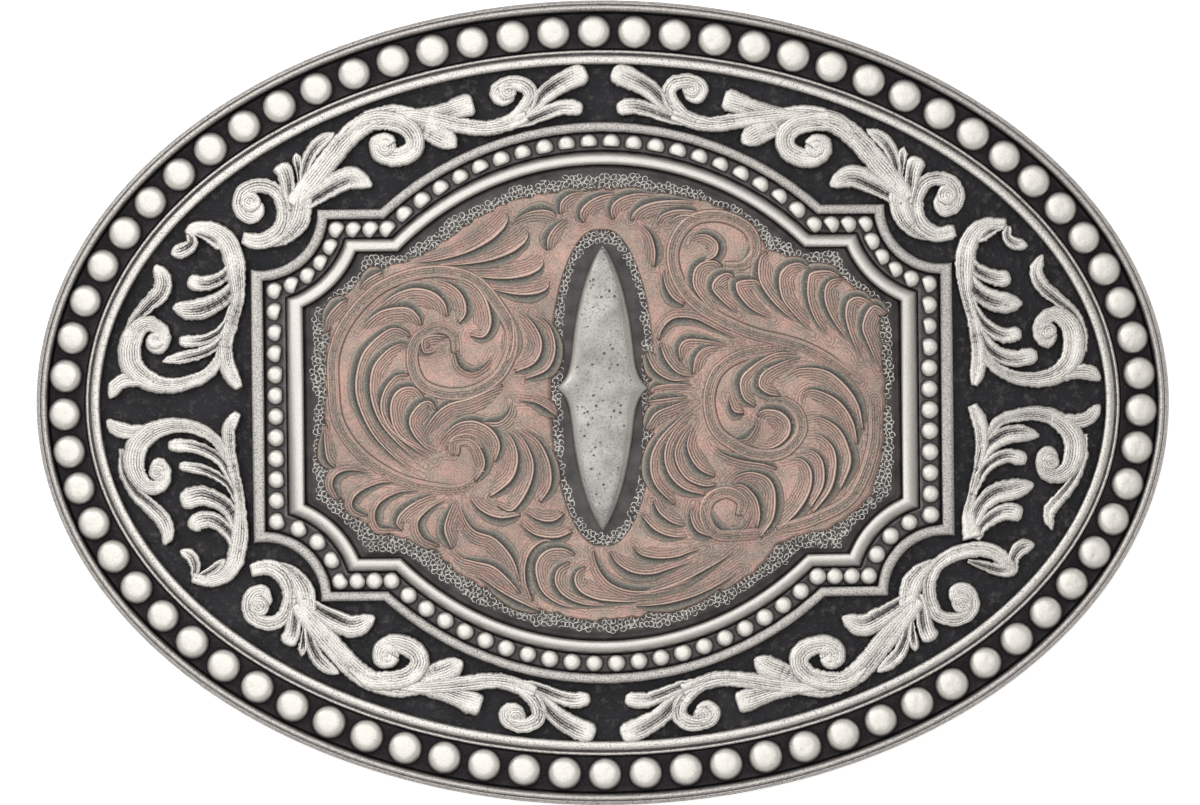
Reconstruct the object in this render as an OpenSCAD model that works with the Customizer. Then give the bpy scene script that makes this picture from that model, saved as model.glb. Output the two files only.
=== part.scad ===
// Western belt buckle: an oval plate with a beaded edge, raised scrollwork and a framed copper panel.
// The face looks up, the long axis runs along X, and the loop and peg on the back stand on Z = 0.
// The plate bows about Y to follow the waist. Heights are given at its middle, and crown() lowers the rest.

/* [Plate] */
// Overall length of the oval
plate_w = 94.6; // [92:0.2:98]
// Overall height of the oval
plate_h = 67; // [66:0.2:69]
// Thickness of the plate between its back and its dark ground
plate_t = 1.9; // [1.5:0.1:2.5]
// Height of the plate's back above the surface it rests on
back_z = 11; // [10.5:0.1:13]
// Radius of the bow along the length
crown_r = 235; // [200:5:400]
// Gap left between pieces
gap = 0.06; // [0.04:0.01:0.08]

/* [Edge] */
// Width of the rounded rim
rim_w = 1; // [0.8:0.05:1.02]
// Height of the rim above the ground
rim_high = 1.3; // [1:0.1:1.5]
// Number of beads round the edge
edge_beads_n = 73; // [60:1:74]
// Diameter of an edge bead
edge_bead_d = 2.5; // [2.2:0.05:2.6]
// Distance of the bead centres from the outline
edge_bead_inset = 2.4; // [2.35:0.05:2.5]
// How far the row gains on its even pitch over the upper half
edge_bead_drift = 1.2; // [0:0.1:1.5]
// Height of the beads above the ground
edge_bead_high = 1.25; // [1:0.05:1.3]
// Height of the double moulding inside the beads
moulding_high = 0.95; // [0.7:0.05:1.1]

/* [Frame] */
// Half width of the frame across its straight sides
frame_side = 29.25; // [28.8:0.05:29.5]
// Height of the small ledges beside the arches
frame_ledge = 16.35; // [16:0.05:16.6]
// Height of the arches at the middle
frame_arch = 23.4; // [23:0.1:23.6]
// Radius of the arches
arch_r = 27.45; // [26.5:0.05:28.5]
// Radius of the hollowed corners
corner_r = 4.75; // [4.4:0.05:5]
// Height of the rails above the ground
rail_high = 1; // [0.8:0.05:1.2]
// Diameter of a frame bead
frame_bead_d = 1.35; // [1.2:0.05:1.4]
// Angle at which the frame and the scrollwork sit in the oval
field_cant = 0.6; // [0:0.1:1]

/* [Scrollwork] */
// Height of the scrolls above the ground
scroll_high = 0.9; // [0.7:0.05:1]
// Share of a scroll's width that its flat crest takes
crest = 0.34; // [0.2:0.02:0.5]

/* [Centre] */
// Thickness of the copper panel
panel_t = 0.5; // [0.4:0.05:0.6]
// Height of the engraved field above the matted border
field_high = 0.2; // [0.1:0.05:0.3]
// Height of the leaves above the field
leaf_high = 0.15; // [0.1:0.05:0.2]
// Height of the ornament on the panel, end to end
spindle_h = 23.7; // [22:0.1:24]
// Thickness of the ornament
spindle_t = 0.8; // [0.6:0.05:1]

/* [Back] */
// Diameter of the bar of the strap loop
wire_d = 3; // [2.6:0.1:3.2]
// Radius of the ends of the loop's arms
arm_end_r = 1.8; // [1.7:0.1:2]
// Width of strap that the loop takes
strap_w = 39; // [38:0.5:39]
// Distance of the loop's bar from the middle
loop_x = 32.5; // [32:0.1:32.6]
// Distance of the loop's feet from the middle
foot_x = 20.5; // [18:0.5:21]
// Distance of the peg from the middle
peg_x = 30; // [28:0.5:32]
// Diameter of the peg
peg_d = 4; // [3.6:0.1:4.4]

/* [Hidden] */
$fn = 180;

silver = "#d6d3c9";
steel = "#b4b2ac";
copper = "#a07868";
blackened = "#2b2930";
half_w = plate_w / 2;
half_h = plate_h / 2;
ground_z = back_z + plate_t;
seat_z = ground_z + gap;
panel_z = seat_z + panel_t;
oval_steps = 96;
prism_h = 40;

// Sections of the edge bands, from the outer foot to the inner foot: inset from the outline, height.
rim_section = [[0, 0], [0, rim_high - 0.4], [0.45, rim_high], [rim_w, rim_high - 0.45], [rim_w, 0]];
moulding_out = 4.1;
moulding_in = 5.3;
moulding_section = [[moulding_out, 0], [4.15, moulding_high - 0.2], [4.75, moulding_high],
    [5.25, moulding_high - 0.15], [moulding_in, 0]];
edge_strip = [rim_w + gap, moulding_out - gap];
edge_strip_high = 0.3;
bead_foot = 0.12;

// Insets of the frame's rails and bead row, and how much faster they grow at the sides than at the arches.
outer_rail = [0, 0.85];
bead_strip = [0.92, 2.68];
bead_line = 1.8;
inner_rail = [2.75, 3.75];
frame_strip_high = 0.45;
frame_bead_high = 0.9;
side_spread = 1.12;
arch_spread = 0.92;
corner = [28.4, 16.1];
corner_steps = 7;
arch_steps = 24;

// Gaps between the frame beads along each stretch of their line.
side_gaps = 11;
upper_corner_gaps = 5;
lower_corner_gaps = 4;
ledge_gaps = 3;
arch_gaps = 21;

// Drop of the bowed plate at a distance x from its middle.
function crown(x) = sqrt(crown_r * crown_r - x * x) - crown_r;

// Point of the oval outline at parameter a, moved inwards by inset.
function oval(a, inset) =
    let (n = [half_h * cos(a), half_w * sin(a)])
    [half_w * cos(a), half_h * sin(a)] - inset * n / norm(n);

function oval_path(inset) = [for (i = [0:oval_steps - 1]) oval(360 * i / oval_steps, inset)];

// The frame's outline moved inwards by inset is made of straight sides, hollowed corners, ledges and arches.
// Upper right corner, from the side to the ledge.
function frame_corner(inset) =
    let (
        x = frame_side - inset * side_spread,
        y = frame_ledge - inset * arch_spread,
        r = corner_r + inset,
        from = -acos((x - corner[0]) / r),
        to = -180 - asin((y - corner[1]) / r)
    )
    [for (i = [0:corner_steps])
        let (a = from + (to - from) * i / corner_steps) corner + r * [cos(a), sin(a)]];

// Upper arch, from the right ledge to the left one.
function frame_arc(inset) =
    let (
        r = arch_r - inset * arch_spread,
        y = frame_arch - arch_r,
        spring = asin((frame_ledge - inset * arch_spread - y) / r)
    )
    [for (i = [0:arch_steps])
        let (a = spring + (180 - 2 * spring) * i / arch_steps) [0, y] + r * [cos(a), sin(a)]];

function flipped(path, x, y) = [for (p = path) [p[0] * x, p[1] * y]];
function backwards(path) = [for (i = [len(path) - 1:-1:0]) path[i]];

function frame_half(inset) =
    let (c = frame_corner(inset)) concat(c, frame_arc(inset), backwards(flipped(c, -1, 1)));
function frame_path(inset) = concat(frame_half(inset), flipped(frame_half(inset), -1, -1));

// Running length of a path at each of its points.
function runs(path) = [for (i = 0, d = 0; i < len(path);
    d = d + norm(path[min(i + 1, len(path) - 1)] - path[i]), i = i + 1) d];

// Even stops along an open path, without its last point.
function stops(path, gaps) =
    let (
        run = runs(path),
        n = len(path) - 1,
        xs = [for (i = [0:n]) [run[i], path[i][0]]],
        ys = [for (i = [0:n]) [run[i], path[i][1]]]
    )
    [for (i = [0:gaps - 1]) let (d = run[n] * i / gaps) [lookup(d, xs), lookup(d, ys)]];

// Centres of the frame beads. One sits in each corner of their line, and the rest lie evenly between.
function frame_bead_row(side) =
    let (
        c = frame_corner(bead_line),
        arc = frame_arc(bead_line),
        far = flipped(c, -1, 1),
        gaps = side > 0 ? upper_corner_gaps : lower_corner_gaps,
        row = concat(
            stops(c, gaps),
            stops([c[corner_steps], arc[0]], ledge_gaps),
            stops(arc, arch_gaps),
            stops([arc[arch_steps], far[corner_steps]], ledge_gaps),
            stops(backwards(far), gaps),
            stops([far[0], [far[0][0], -far[0][1]]], side_gaps)
        )
    )
    flipped(row, side, side);

function turned(p) =
    [p[0] * cos(field_cant) - p[1] * sin(field_cant), p[0] * sin(field_cant) + p[1] * cos(field_cant)];

// Centres of the edge beads. They are spaced along the outline, and the row starts just below the right end.
bead_start = -0.19;
edge_run = runs([for (i = [0:oval_steps]) oval(360 * i / oval_steps, 0)]);
edge_angle = [for (i = [0:oval_steps]) [edge_run[i], 360 * i / oval_steps]];
function edge_bead(i) =
    let (
        even = (i + bead_start) / edge_beads_n,
        d = edge_run[oval_steps] * (even - floor(even)),
        gain = even > 0 && even < 0.5 ? edge_bead_drift * sin(360 * even) : 0
    )
    oval(lookup(d - gain, edge_angle), edge_bead_inset);

// Everything below the bowed surface whose middle lies at this height.
module under(level) {
    translate([0, 0, level - crown_r])
        rotate([90, 0, 0])
            cylinder(h = 2 * plate_h, r = crown_r, center = true, $fn = 720);
}

// The children's outline, filled between two bowed surfaces.
module bowed(low, high) {
    difference() {
        intersection() {
            linear_extrude(height = prism_h) children();
            under(high);
        }
        under(low);
    }
}

// A ring of constant section that follows the oval.
module oval_band(section) {
    m = len(section);
    points = [for (i = [0:oval_steps - 1], s = section)
        let (p = oval(360 * i / oval_steps, s[0])) [p[0], p[1], seat_z + s[1] + crown(p[0])]];
    faces = [for (i = [0:oval_steps - 1], j = [0:m - 1])
        let (i2 = (i + 1) % oval_steps, j2 = (j + 1) % m)
        [i * m + j, i * m + j2, i2 * m + j2, i2 * m + j]];
    polyhedron(points, faces);
}

module base_plate() {
    color(blackened) bowed(back_z, ground_z) polygon(oval_path(0));
}

module edge_rim() {
    color(silver) oval_band(rim_section);
}

module inner_moulding() {
    color(silver) oval_band(moulding_section);
}

// A dome of this height that stands square on the bowed plate, with its foot sunk in the strip below it.
module bead(p, d, high) {
    translate([p[0], p[1], seat_z + crown(p[0])])
        rotate([0, asin(p[0] / crown_r), 0])
            rotate_extrude($fn = 48) intersection() {
                translate([0, high - d / 2]) circle(d = d);
                translate([0, bead_foot]) square([d, high]);
            }
}

module edge_beads() {
    color(silver) {
        bowed(seat_z, seat_z + edge_strip_high) difference() {
            polygon(oval_path(edge_strip[0]));
            polygon(oval_path(edge_strip[1]));
        }
        for (i = [0:edge_beads_n - 1]) bead(edge_bead(i), edge_bead_d, edge_bead_high);
    }
}

module frame_band(inset) {
    rotate(field_cant) difference() {
        polygon(frame_path(inset[0]));
        polygon(frame_path(inset[1]));
    }
}

module frame_outer_rail() {
    color(silver) bowed(seat_z, seat_z + rail_high) frame_band(outer_rail);
}

module frame_inner_rail() {
    color(silver) bowed(seat_z, seat_z + rail_high) frame_band(inner_rail);
}

module frame_beads() {
    color(silver) {
        bowed(seat_z, seat_z + frame_strip_high) frame_band(bead_strip);
        for (side = [1, -1], p = frame_bead_row(side)) bead(turned(p), frame_bead_d, frame_bead_high);
    }
}

// Scrollwork of the upper right quarter. The other quarters mirror it.
// Leaves: root, bend, tip, width.
vine_leaves = [
    [[6.0, 24.3], [4.2, 26.9], [1.2, 27.6], 1.7],
    [[6.3, 23.8], [3.8, 25.0], [1.6, 24.5], 1.3],
    [[16.5, 24.5], [12.5, 24.3], [10.4, 25.5], 1.7],
    [[15.0, 23.8], [13.8, 22.6], [12.3, 21.6], 1.5],
    [[24.8, 19.0], [24.2, 21.2], [22.2, 22.6], 1.3],
    [[25.0, 19.0], [25.4, 20.2], [25.4, 21.3], 0.9],
    [[25.6, 17.3], [25.7, 19.5], [27.2, 20.0], 1.5],
    [[24.5, 17.4], [22.0, 19.2], [19.4, 18.1], 1.8],
];
// Stems: root, bend, tip, width at the root, width at the tip.
vine_stems = [
    [[6.1, 24.2], [9.5, 22.2], [13.0, 23.7], 1.2, 1.5],
    [[12.8, 23.7], [17.0, 25.2], [21.2, 22.5], 1.5, 1.7],
    [[21.0, 22.6], [23.2, 20.4], [25.4, 16.6], 1.7, 1.3],
    [[25.3, 16.7], [26.3, 14.2], [29.2, 14.2], 1.4, 1.2],
];
// Curls: centre, first angle, sweep, first radius, last radius, ease, first width, last width.
vine_curls = [
    [[7.8, 25.8], 235, -370, 2.1, 0.6, 1, 1.3, 1.2],
    [[17.4, 21.5], 45, 400, 2.9, 0.4, 1, 1.7, 1.2],
    [[28.8, 17.1], 200, -395, 3.0, 0.4, 1, 1.7, 1.2],
];
side_leaves = [
    [[34.0, 14.6], [34.0, 13.2], [35.7, 12.9], 1.2],
    [[33.6, 14.7], [32.8, 13.5], [31.5, 13.3], 0.9],
    [[30.7, 9.6], [32.4, 9.4], [34.4, 10.4], 1.5],
    [[30.9, 8.6], [32.8, 7.8], [35.3, 8.0], 1.8],
    [[31.1, 7.0], [32.5, 5.9], [35.0, 5.7], 1.2],
    [[31.3, 5.6], [33.0, 4.0], [36.3, 3.9], 1.2],
    [[38.4, 2.0], [39.8, 1.8], [41.2, 1.0], 1.3],
    [[39.2, 6.6], [38.6, 9.0], [36.9, 12.0], 1.4],
];
side_stems = [
    [[30.3, 1.1], [31.9, 3.4], [31.2, 6.2], 1.2, 1.5],
    [[31.2, 6.0], [29.2, 12.4], [31.4, 14.5], 1.5, 1.5],
    [[31.2, 14.4], [32.6, 15.8], [34.1, 14.4], 1.5, 1.2],
];
side_curls = [
    [[37.6, 5.6], -176, 432, 6.1, 0.8, 2.6, 1.6, 1.4],
];
// Share of the full height that a stroke keeps where it thins out.
thin_share = 0.55;
// Spread of a leaf's width along its length, as shares of both.
leaf_spread = [[0, 0.6], [0.3, 0.8], [0.65, 1], [0.88, 0.75], [1, 0.15]];
leaf_steps = 5;
stem_steps = 4;
// Turn that one segment of a curl covers.
curl_step = 33;
// Faces of one segment between two four-point sections.
segment = [[0, 1, 2, 3], [7, 6, 5, 4], [0, 4, 5, 1], [1, 5, 6, 2], [2, 6, 7, 3], [3, 7, 4, 0]];

function bend(r, s) = (1 - s) * (1 - s) * r[0] + 2 * s * (1 - s) * r[1] + s * s * r[2];
function leaf_path(r, n) = [for (i = [0:n]) bend(r, i / n)];
function leaf_widths(r, n) = [for (i = [0:n]) r[3] * lookup(i / n, leaf_spread)];
function stem_widths(r, n) = [for (i = [0:n]) r[3] + (r[4] - r[3]) * i / n];
function curl_steps(c) = ceil(abs(c[2]) / curl_step);
function curl_path(c, n) = [for (i = [0:n])
    let (s = i / n, a = c[1] + c[2] * s, r = c[4] + (c[3] - c[4]) * pow(1 - s, c[5]))
    c[0] + r * [cos(a), sin(a)]];
function curl_widths(c, n) = [for (i = [0:n]) c[6] + (c[7] - c[6]) * i / n];
// Direction across a path at its point i, pointing to its left.
function across(path, i) =
    let (n = len(path) - 1, t = path[min(i + 1, n)] - path[max(i - 1, 0)]) [-t[1], t[0]] / norm(t);

// A raised stroke: a path with a width at each point, flat at its foot and narrow at its crest.
module stroke(path, widths, side) {
    n = len(path) - 1;
    rings = [for (i = [0:n])
        let (
            half = widths[i] / 2 * across(path, i),
            top = scroll_high * (thin_share + (1 - thin_share) * widths[i] / max(widths)),
            foot = [-1, -crest, crest, 1],
            level = [0, top, top, 0]
        )
        [for (k = [0:3])
            let (p = path[i] + half * foot[k], q = turned([p[0] * side[0], p[1] * side[1]]))
            [q[0], q[1], seat_z + level[k] + crown(q[0])]]];
    for (i = [0:n - 1]) hull() polyhedron(concat(rings[i], rings[i + 1]), segment);
}

module scroll(leaves, stems, curls, side) {
    for (r = leaves) stroke(leaf_path(r, leaf_steps), leaf_widths(r, leaf_steps), side);
    for (r = stems) stroke(leaf_path(r, stem_steps), stem_widths(r, stem_steps), side);
    for (c = curls) stroke(curl_path(c, curl_steps(c)), curl_widths(c, curl_steps(c)), side);
}

// The ground between the double moulding and the frame, where the scrolls stand.
module ground_ring() {
    linear_extrude(height = prism_h) difference() {
        polygon(oval_path(moulding_in + gap));
        rotate(field_cant) polygon(frame_path(-gap));
    }
}

module vine(side) {
    color(silver) intersection() {
        scroll(vine_leaves, vine_stems, vine_curls, side);
        ground_ring();
    }
}

module side_leaf(side) {
    color(silver) intersection() {
        scroll(side_leaves, side_stems, side_curls, side);
        ground_ring();
    }
}

// Leaves engraved on the copper, in the same columns as the others.
left_leaves = [
    [[-20.7, -1.0], [-21.6, 4.6], [-16.4, 4.8], 1.5],
    [[-19.8, 6.3], [-17.5, 8.9], [-15.2, 6.9], 1.5],
    [[-17.5, 8.9], [-14.6, 10.4], [-13.2, 7.4], 1.4],
    [[-13.6, 10.1], [-11.0, 9.8], [-11.9, 6.9], 1.5],
    [[-19.0, -0.5], [-18.8, 2.6], [-16.4, 1.8], 1.2],
    [[-17.2, -2.2], [-17.2, 0.9], [-14.2, 0.0], 1.4],
    [[-15.6, 12.3], [-10.0, 13.2], [-7.8, 15.7], 1.5],
    [[-13.5, 12.1], [-8.0, 12.4], [-6.4, 14.3], 1.5],
    [[-10.8, 10.9], [-7.0, 10.7], [-5.2, 11.8], 1.3],
    [[-9.5, 10.0], [-6.4, 9.3], [-4.6, 10.0], 1.2],
    [[-8.1, 7.9], [-4.0, 5.2], [-7.4, 2.1], 1.5],
    [[-18.0, -6.4], [-21.8, -6.0], [-21.8, -8.0], 1.4],
    [[-16.8, -6.9], [-20.3, -7.2], [-20.1, -9.3], 1.5],
    [[-15.0, -7.4], [-18.6, -7.4], [-17.8, -10.1], 1.6],
    [[-13.2, -7.8], [-16.0, -8.6], [-15.6, -11.2], 1.4],
    [[-8.2, -2.0], [-6.6, -5.0], [-8.8, -8.4], 1.4],
    [[-7.0, -1.2], [-4.1, -5.5], [-7.4, -9.4], 1.6],
    [[-12.4, -9.0], [-12.6, -12.8], [-7.4, -15.4], 1.8],
];
right_leaves = [
    [[9.8, 8.0], [8.4, 9.9], [9.0, 11.4], 1.4],
    [[12.2, 6.9], [9.3, 9.0], [10.6, 10.2], 1.5],
    [[14.8, 6.7], [11.4, 8.6], [11.7, 9.9], 1.5],
    [[16.3, 6.4], [13.2, 9.2], [14.2, 12.5], 1.8],
    [[18.0, 5.9], [14.9, 8.6], [16.3, 11.4], 1.6],
    [[19.7, 5.2], [17.0, 8.2], [18.6, 10.7], 1.5],
    [[21.2, 4.4], [19.4, 8.0], [21.7, 8.7], 1.5],
    [[22.6, 3.0], [21.4, 6.4], [22.8, 7.7], 1.2],
    [[9.8, 6.2], [5.6, 7.6], [5.0, 4.6], 1.4],
    [[11.4, 5.2], [7.0, 5.8], [7.0, 3.2], 1.5],
    [[8.0, -1.3], [6.7, -4.2], [9.3, -5.8], 1.5],
    [[6.3, -3.3], [6.1, -6.8], [9.1, -7.3], 1.4],
    [[4.6, -4.4], [4.2, -8.0], [7.0, -8.6], 1.3],
    [[10.2, -6.8], [14.2, -5.0], [14.0, -10.2], 1.6],
    [[15.3, -5.0], [17.6, -7.0], [15.4, -9.8], 1.5],
    [[17.2, -2.8], [20.2, -4.6], [18.2, -8.4], 1.5],
    [[16.8, -0.7], [21.6, -2.2], [20.4, -7.0], 1.6],
    [[13.4, 4.2], [11.0, 2.8], [12.6, 0.2], 1.6],
    [[12.2, -11.2], [6.6, -14.6], [1.4, -14.6], 1.8],
    [[11.8, -13.6], [7.0, -16.4], [1.6, -16.8], 1.6],
];
copper_curls = [
    [[-12.4, 4.1], 178, -425, 10.4, 1.8, 2, 1.1, 1.3],
    [[-11.6, -4.6], -150, 380, 3.2, 0.9, 1, 1.2, 1.2],
    [[9.7, 12.9], 185, -400, 3.7, 0.8, 1, 1.1, 1.3],
    [[12.9, -1.7], 80, 400, 5.8, 1.3, 1.4, 1.1, 1.5],
    [[10.3, -9.0], 60, 400, 2.6, 0.6, 1, 1.1, 1.1],
    [[-3.4, -14.4], 160, -380, 2.4, 0.6, 1, 1.1, 1.1],
];
flat_steps = 6;
field_inset = 5.7;
// Half width and half height of the matted ground left round the ornament.
halo = [4.2, 12.6];

// A stroke's outline, out along its left edge and back along its right.
function flat_stroke(path, widths) =
    let (n = len(path) - 1)
    concat(
        [for (i = [0:n]) path[i] + widths[i] / 2 * across(path, i)],
        [for (i = [n:-1:0]) path[i] - widths[i] / 2 * across(path, i)]
    );

module matted_halo() {
    translate([0, spindle_y]) square(2 * halo, center = true);
}

module copper_field() {
    difference() {
        polygon(frame_path(field_inset));
        matted_halo();
    }
}

module copper_scroll() {
    difference() {
        union() {
            for (r = concat(left_leaves, right_leaves))
                polygon(flat_stroke(leaf_path(r, flat_steps), leaf_widths(r, flat_steps)));
            for (c = copper_curls)
                polygon(flat_stroke(curl_path(c, curl_steps(c)), curl_widths(c, curl_steps(c))));
        }
        matted_halo();
    }
}

module center_panel() {
    color(copper) {
        bowed(seat_z, panel_z) rotate(field_cant) polygon(frame_path(inner_rail[1] + gap));
        bowed(seat_z, panel_z + field_high) rotate(field_cant) copper_field();
        bowed(seat_z, panel_z + field_high + leaf_high) rotate(field_cant) copper_scroll();
    }
}

// A tall spindle with a point at each side, bevelled up to a narrow ridge.
spindle_y = 1.25;
spindle_body = 2.7;
body_round = 2.2;
body_full = 0.8;
spindle_point = 1.2;
point_fall = 14;
spindle_steps = 10;
// Steps grow towards the ends by this power.
step_growth = 1.4;
function spindle_half(v) =
    spindle_body * pow(1 - pow(v, body_round), body_full) + spindle_point * exp(-v * point_fall);
function spindle_quarter() = [for (i = [0:spindle_steps - 1])
    let (v = pow(i / spindle_steps, step_growth)) [spindle_half(v), v * spindle_h / 2]];
function spindle_path() =
    let (q = spindle_quarter(), last = [[0, spindle_h / 2]], inner = [for (i = [1:spindle_steps - 1]) q[i]])
    concat(q, last, backwards(flipped(inner, -1, 1)), flipped(q, -1, -1), flipped(last, 1, -1),
        backwards(flipped(inner, 1, -1)));

// Levels of the spindle from foot to ridge: share of the width, share of the height, level.
spindle_levels = [[1, 1, 0], [1, 1, spindle_t * 0.45], [0.2, 0.93, spindle_t]];

module center_spindle() {
    path = spindle_path();
    n = len(path);
    foot_z = panel_z + gap;
    points = [for (s = spindle_levels, p = path)
        [p[0] * s[0], p[1] * s[1] + spindle_y, foot_z + s[2] + crown(p[0] * s[0])]];
    sides = [for (k = [0:1], i = [0:n - 1])
        let (i2 = (i + 1) % n) [k * n + i, (k + 1) * n + i, (k + 1) * n + i2, k * n + i2]];
    color(silver) polyhedron(points, concat(
        sides, [[for (i = [0:n - 1]) i]], [[for (i = [n - 1:-1:0]) 2 * n + i]]));
}

// Thickness of the loop's arms, half width of their feet, and lift of an arm's root above the ground.
arm_w = 3;
foot_half = 2;
arm_lift = 0.1;
// Drop of an arm below the plate's middle where it meets the foot, at its inner and outer side.
arm_drop = [5.5, 3.4];

// One side arm of the loop seen along Y: a round end that holds the bar and a foot under the plate.
// The foot runs up past the plate's back and is cut to it later.
module arm_outline() {
    inner = -foot_x + foot_half;
    outer = -foot_x - foot_half;
    translate([-loop_x, arm_end_r]) circle(r = arm_end_r);
    polygon([[-loop_x, 2 * arm_end_r], [-loop_x, arm_lift], [inner, back_z - arm_drop[0]],
        [inner, ground_z], [outer, ground_z], [outer, back_z - arm_drop[1]]]);
}

module strap_loop() {
    color(steel) intersection() {
        union() {
            translate([-loop_x, 0, arm_end_r])
                rotate([90, 0, 0]) cylinder(h = strap_w + arm_w, d = wire_d, center = true);
            for (s = [-1, 1])
                translate([0, s * (strap_w + arm_w) / 2 + arm_w / 2, 0])
                    rotate([90, 0, 0]) linear_extrude(height = arm_w) arm_outline();
        }
        under(back_z - gap);
    }
}

// Height of the round boss that the peg stands on, from the level of the plate's middle.
boss_high = 3.2;

module hook_peg() {
    color(steel) intersection() {
        union() {
            translate([peg_x, 0, peg_d / 2]) cylinder(h = back_z - peg_d / 2, d = peg_d);
            translate([peg_x, 0, peg_d / 2]) sphere(d = peg_d);
            translate([peg_x, 0, back_z - boss_high]) cylinder(h = boss_high, d = 2 * peg_d);
        }
        under(back_z - gap);
    }
}

base_plate();
edge_rim();
edge_beads();
inner_moulding();
vine([1, 1]);  // vine_upper_right
vine([-1, 1]);  // vine_upper_left
vine([-1, -1]);  // vine_lower_left
vine([1, -1]);  // vine_lower_right
side_leaf([1, 1]);  // side_leaf_upper_right
side_leaf([-1, 1]);  // side_leaf_upper_left
side_leaf([-1, -1]);  // side_leaf_lower_left
side_leaf([1, -1]);  // side_leaf_lower_right
frame_outer_rail();
frame_beads();
frame_inner_rail();
center_panel();
center_spindle();
strap_loop();
hook_peg();
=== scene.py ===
import math

import bmesh
import bpy
import numpy as np
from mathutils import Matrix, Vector, kdtree


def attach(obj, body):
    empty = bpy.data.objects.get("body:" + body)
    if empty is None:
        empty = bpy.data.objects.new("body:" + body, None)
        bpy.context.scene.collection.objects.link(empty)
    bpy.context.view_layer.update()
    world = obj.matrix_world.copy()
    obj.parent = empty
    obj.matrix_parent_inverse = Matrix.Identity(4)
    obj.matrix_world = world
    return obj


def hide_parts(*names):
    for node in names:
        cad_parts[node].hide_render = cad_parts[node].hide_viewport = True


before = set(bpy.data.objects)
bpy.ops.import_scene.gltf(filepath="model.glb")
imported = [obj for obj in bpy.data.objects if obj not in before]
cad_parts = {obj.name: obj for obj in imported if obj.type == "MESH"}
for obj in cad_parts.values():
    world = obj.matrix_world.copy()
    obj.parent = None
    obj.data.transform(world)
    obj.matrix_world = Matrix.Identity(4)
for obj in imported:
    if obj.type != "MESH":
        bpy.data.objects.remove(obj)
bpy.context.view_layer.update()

# Studio. A plain pale table top under the buckle, one very large soft light overhead and a weak one from
# the left, so that flat tops shine and slopes stay dark, and a long lens that looks straight down.
TABLE_HALF = 0.6
LENS = 500.0
FRAMED_WIDTH = 0.1
FACE_LEVEL = 0.0125
VIEW_CENTRE = (-0.000225, 0.00002)
LIT_SPOT = (0, 0, 0.01)

bpy.context.scene.view_settings.view_transform = "Standard"


class Wire:
    """A node's output. Each sign in a sum with it adds a Math node to its tree."""

    def __init__(self, socket):
        self.socket = socket
        self.tree = socket.id_data

    def __add__(self, other):
        return maths("ADD", self, other)

    def __sub__(self, other):
        return maths("SUBTRACT", self, other)

    def __rsub__(self, other):
        return maths("SUBTRACT", other, self)

    def __mul__(self, other):
        return maths("MULTIPLY", self, other)

    def __truediv__(self, other):
        return maths("DIVIDE", self, other)

    def __rtruediv__(self, other):
        return maths("DIVIDE", other, self)


def plug(node, sockets):
    """Links or sets inputs of a node, each given by its name or number."""
    for name, value in sockets.items():
        socket = node.inputs[name] if isinstance(name, int) else next(
            s for s in node.inputs if s.enabled and s.name == name)
        if isinstance(value, Wire):
            node.id_data.links.new(value.socket, socket)
        else:
            socket.default_value = value


def outputs(tree, kind, sockets=(), **settings):
    """The outputs, by name, of a new node with these inputs and settings."""
    node = tree.nodes.new(kind)
    for name, value in settings.items():
        setattr(node, name, value)
    plug(node, dict(sockets))
    return {s.name: Wire(s) for s in node.outputs if s.enabled}


def add(tree, kind, sockets=(), **settings):
    """The first output of a new node."""
    return next(iter(outputs(tree, kind, sockets, **settings).values()))


def maths(operation, *values):
    """The result of a Math node."""
    tree = next(v for v in values if isinstance(v, Wire)).tree
    return add(tree, "ShaderNodeMath", dict(enumerate(values)), operation=operation)


def new_finish(name):
    """A material, its tree and its Principled shader."""
    finish = bpy.data.materials.new(name)
    finish.use_nodes = True
    tree = finish.node_tree
    tree.nodes.clear()
    shader = tree.nodes.new("ShaderNodeBsdfPrincipled")
    out = tree.nodes.new("ShaderNodeOutputMaterial")
    tree.links.new(shader.outputs[0], out.inputs[0])
    return finish, tree, shader


def placed(name, data):
    """A new object of the scene."""
    thing = bpy.data.objects.new(name, data)
    bpy.context.scene.collection.objects.link(thing)
    return thing


table_paint, tree, shader = new_finish("table_white")
paper = add(tree, "ShaderNodeTexNoise", {"Scale": 900.0})
pale = add(tree, "ShaderNodeMapRange", {"Value": paper, "To Min": 0.9, "To Max": 0.94})
tone = add(tree, "ShaderNodeCombineColor", {"Red": pale, "Green": pale, "Blue": pale})
plug(shader, {"Base Color": tone, "Emission Color": tone, "Emission Strength": 0.6, "Roughness": 0.9})
top = bpy.data.meshes.new("table_top")
top.from_pydata([(x * TABLE_HALF, y * TABLE_HALF, 0) for x, y in ((-1, -1), (1, -1), (1, 1), (-1, 1))],
                [], [(0, 1, 2, 3)])
top.materials.append(table_paint)
table_top = placed("table_top", top)

world = bpy.data.worlds.new("studio")
bpy.context.scene.world = world
world.use_nodes = True
plug(world.node_tree.nodes["Background"], {"Color": (1.0, 0.985, 0.96, 1), "Strength": 0.4})


def soft_light(name, size, power, place):
    """A square soft light of this size that looks at the buckle."""
    lamp = bpy.data.lights.new(name, "AREA")
    lamp.size, lamp.energy = size, power
    holder = placed(name, lamp)
    holder.location = place
    turn = [a - b for a, b in zip(place, LIT_SPOT)]
    holder.rotation_mode = "QUATERNION"
    holder.rotation_quaternion = Vector(turn).to_track_quat("Z", "Y")


soft_light("overhead", 2.3, 18.0, (-0.3, 0.36, 1.75))
soft_light("left_fill", 0.4, 1.5, (-0.75, 0.6, 0.6))

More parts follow.
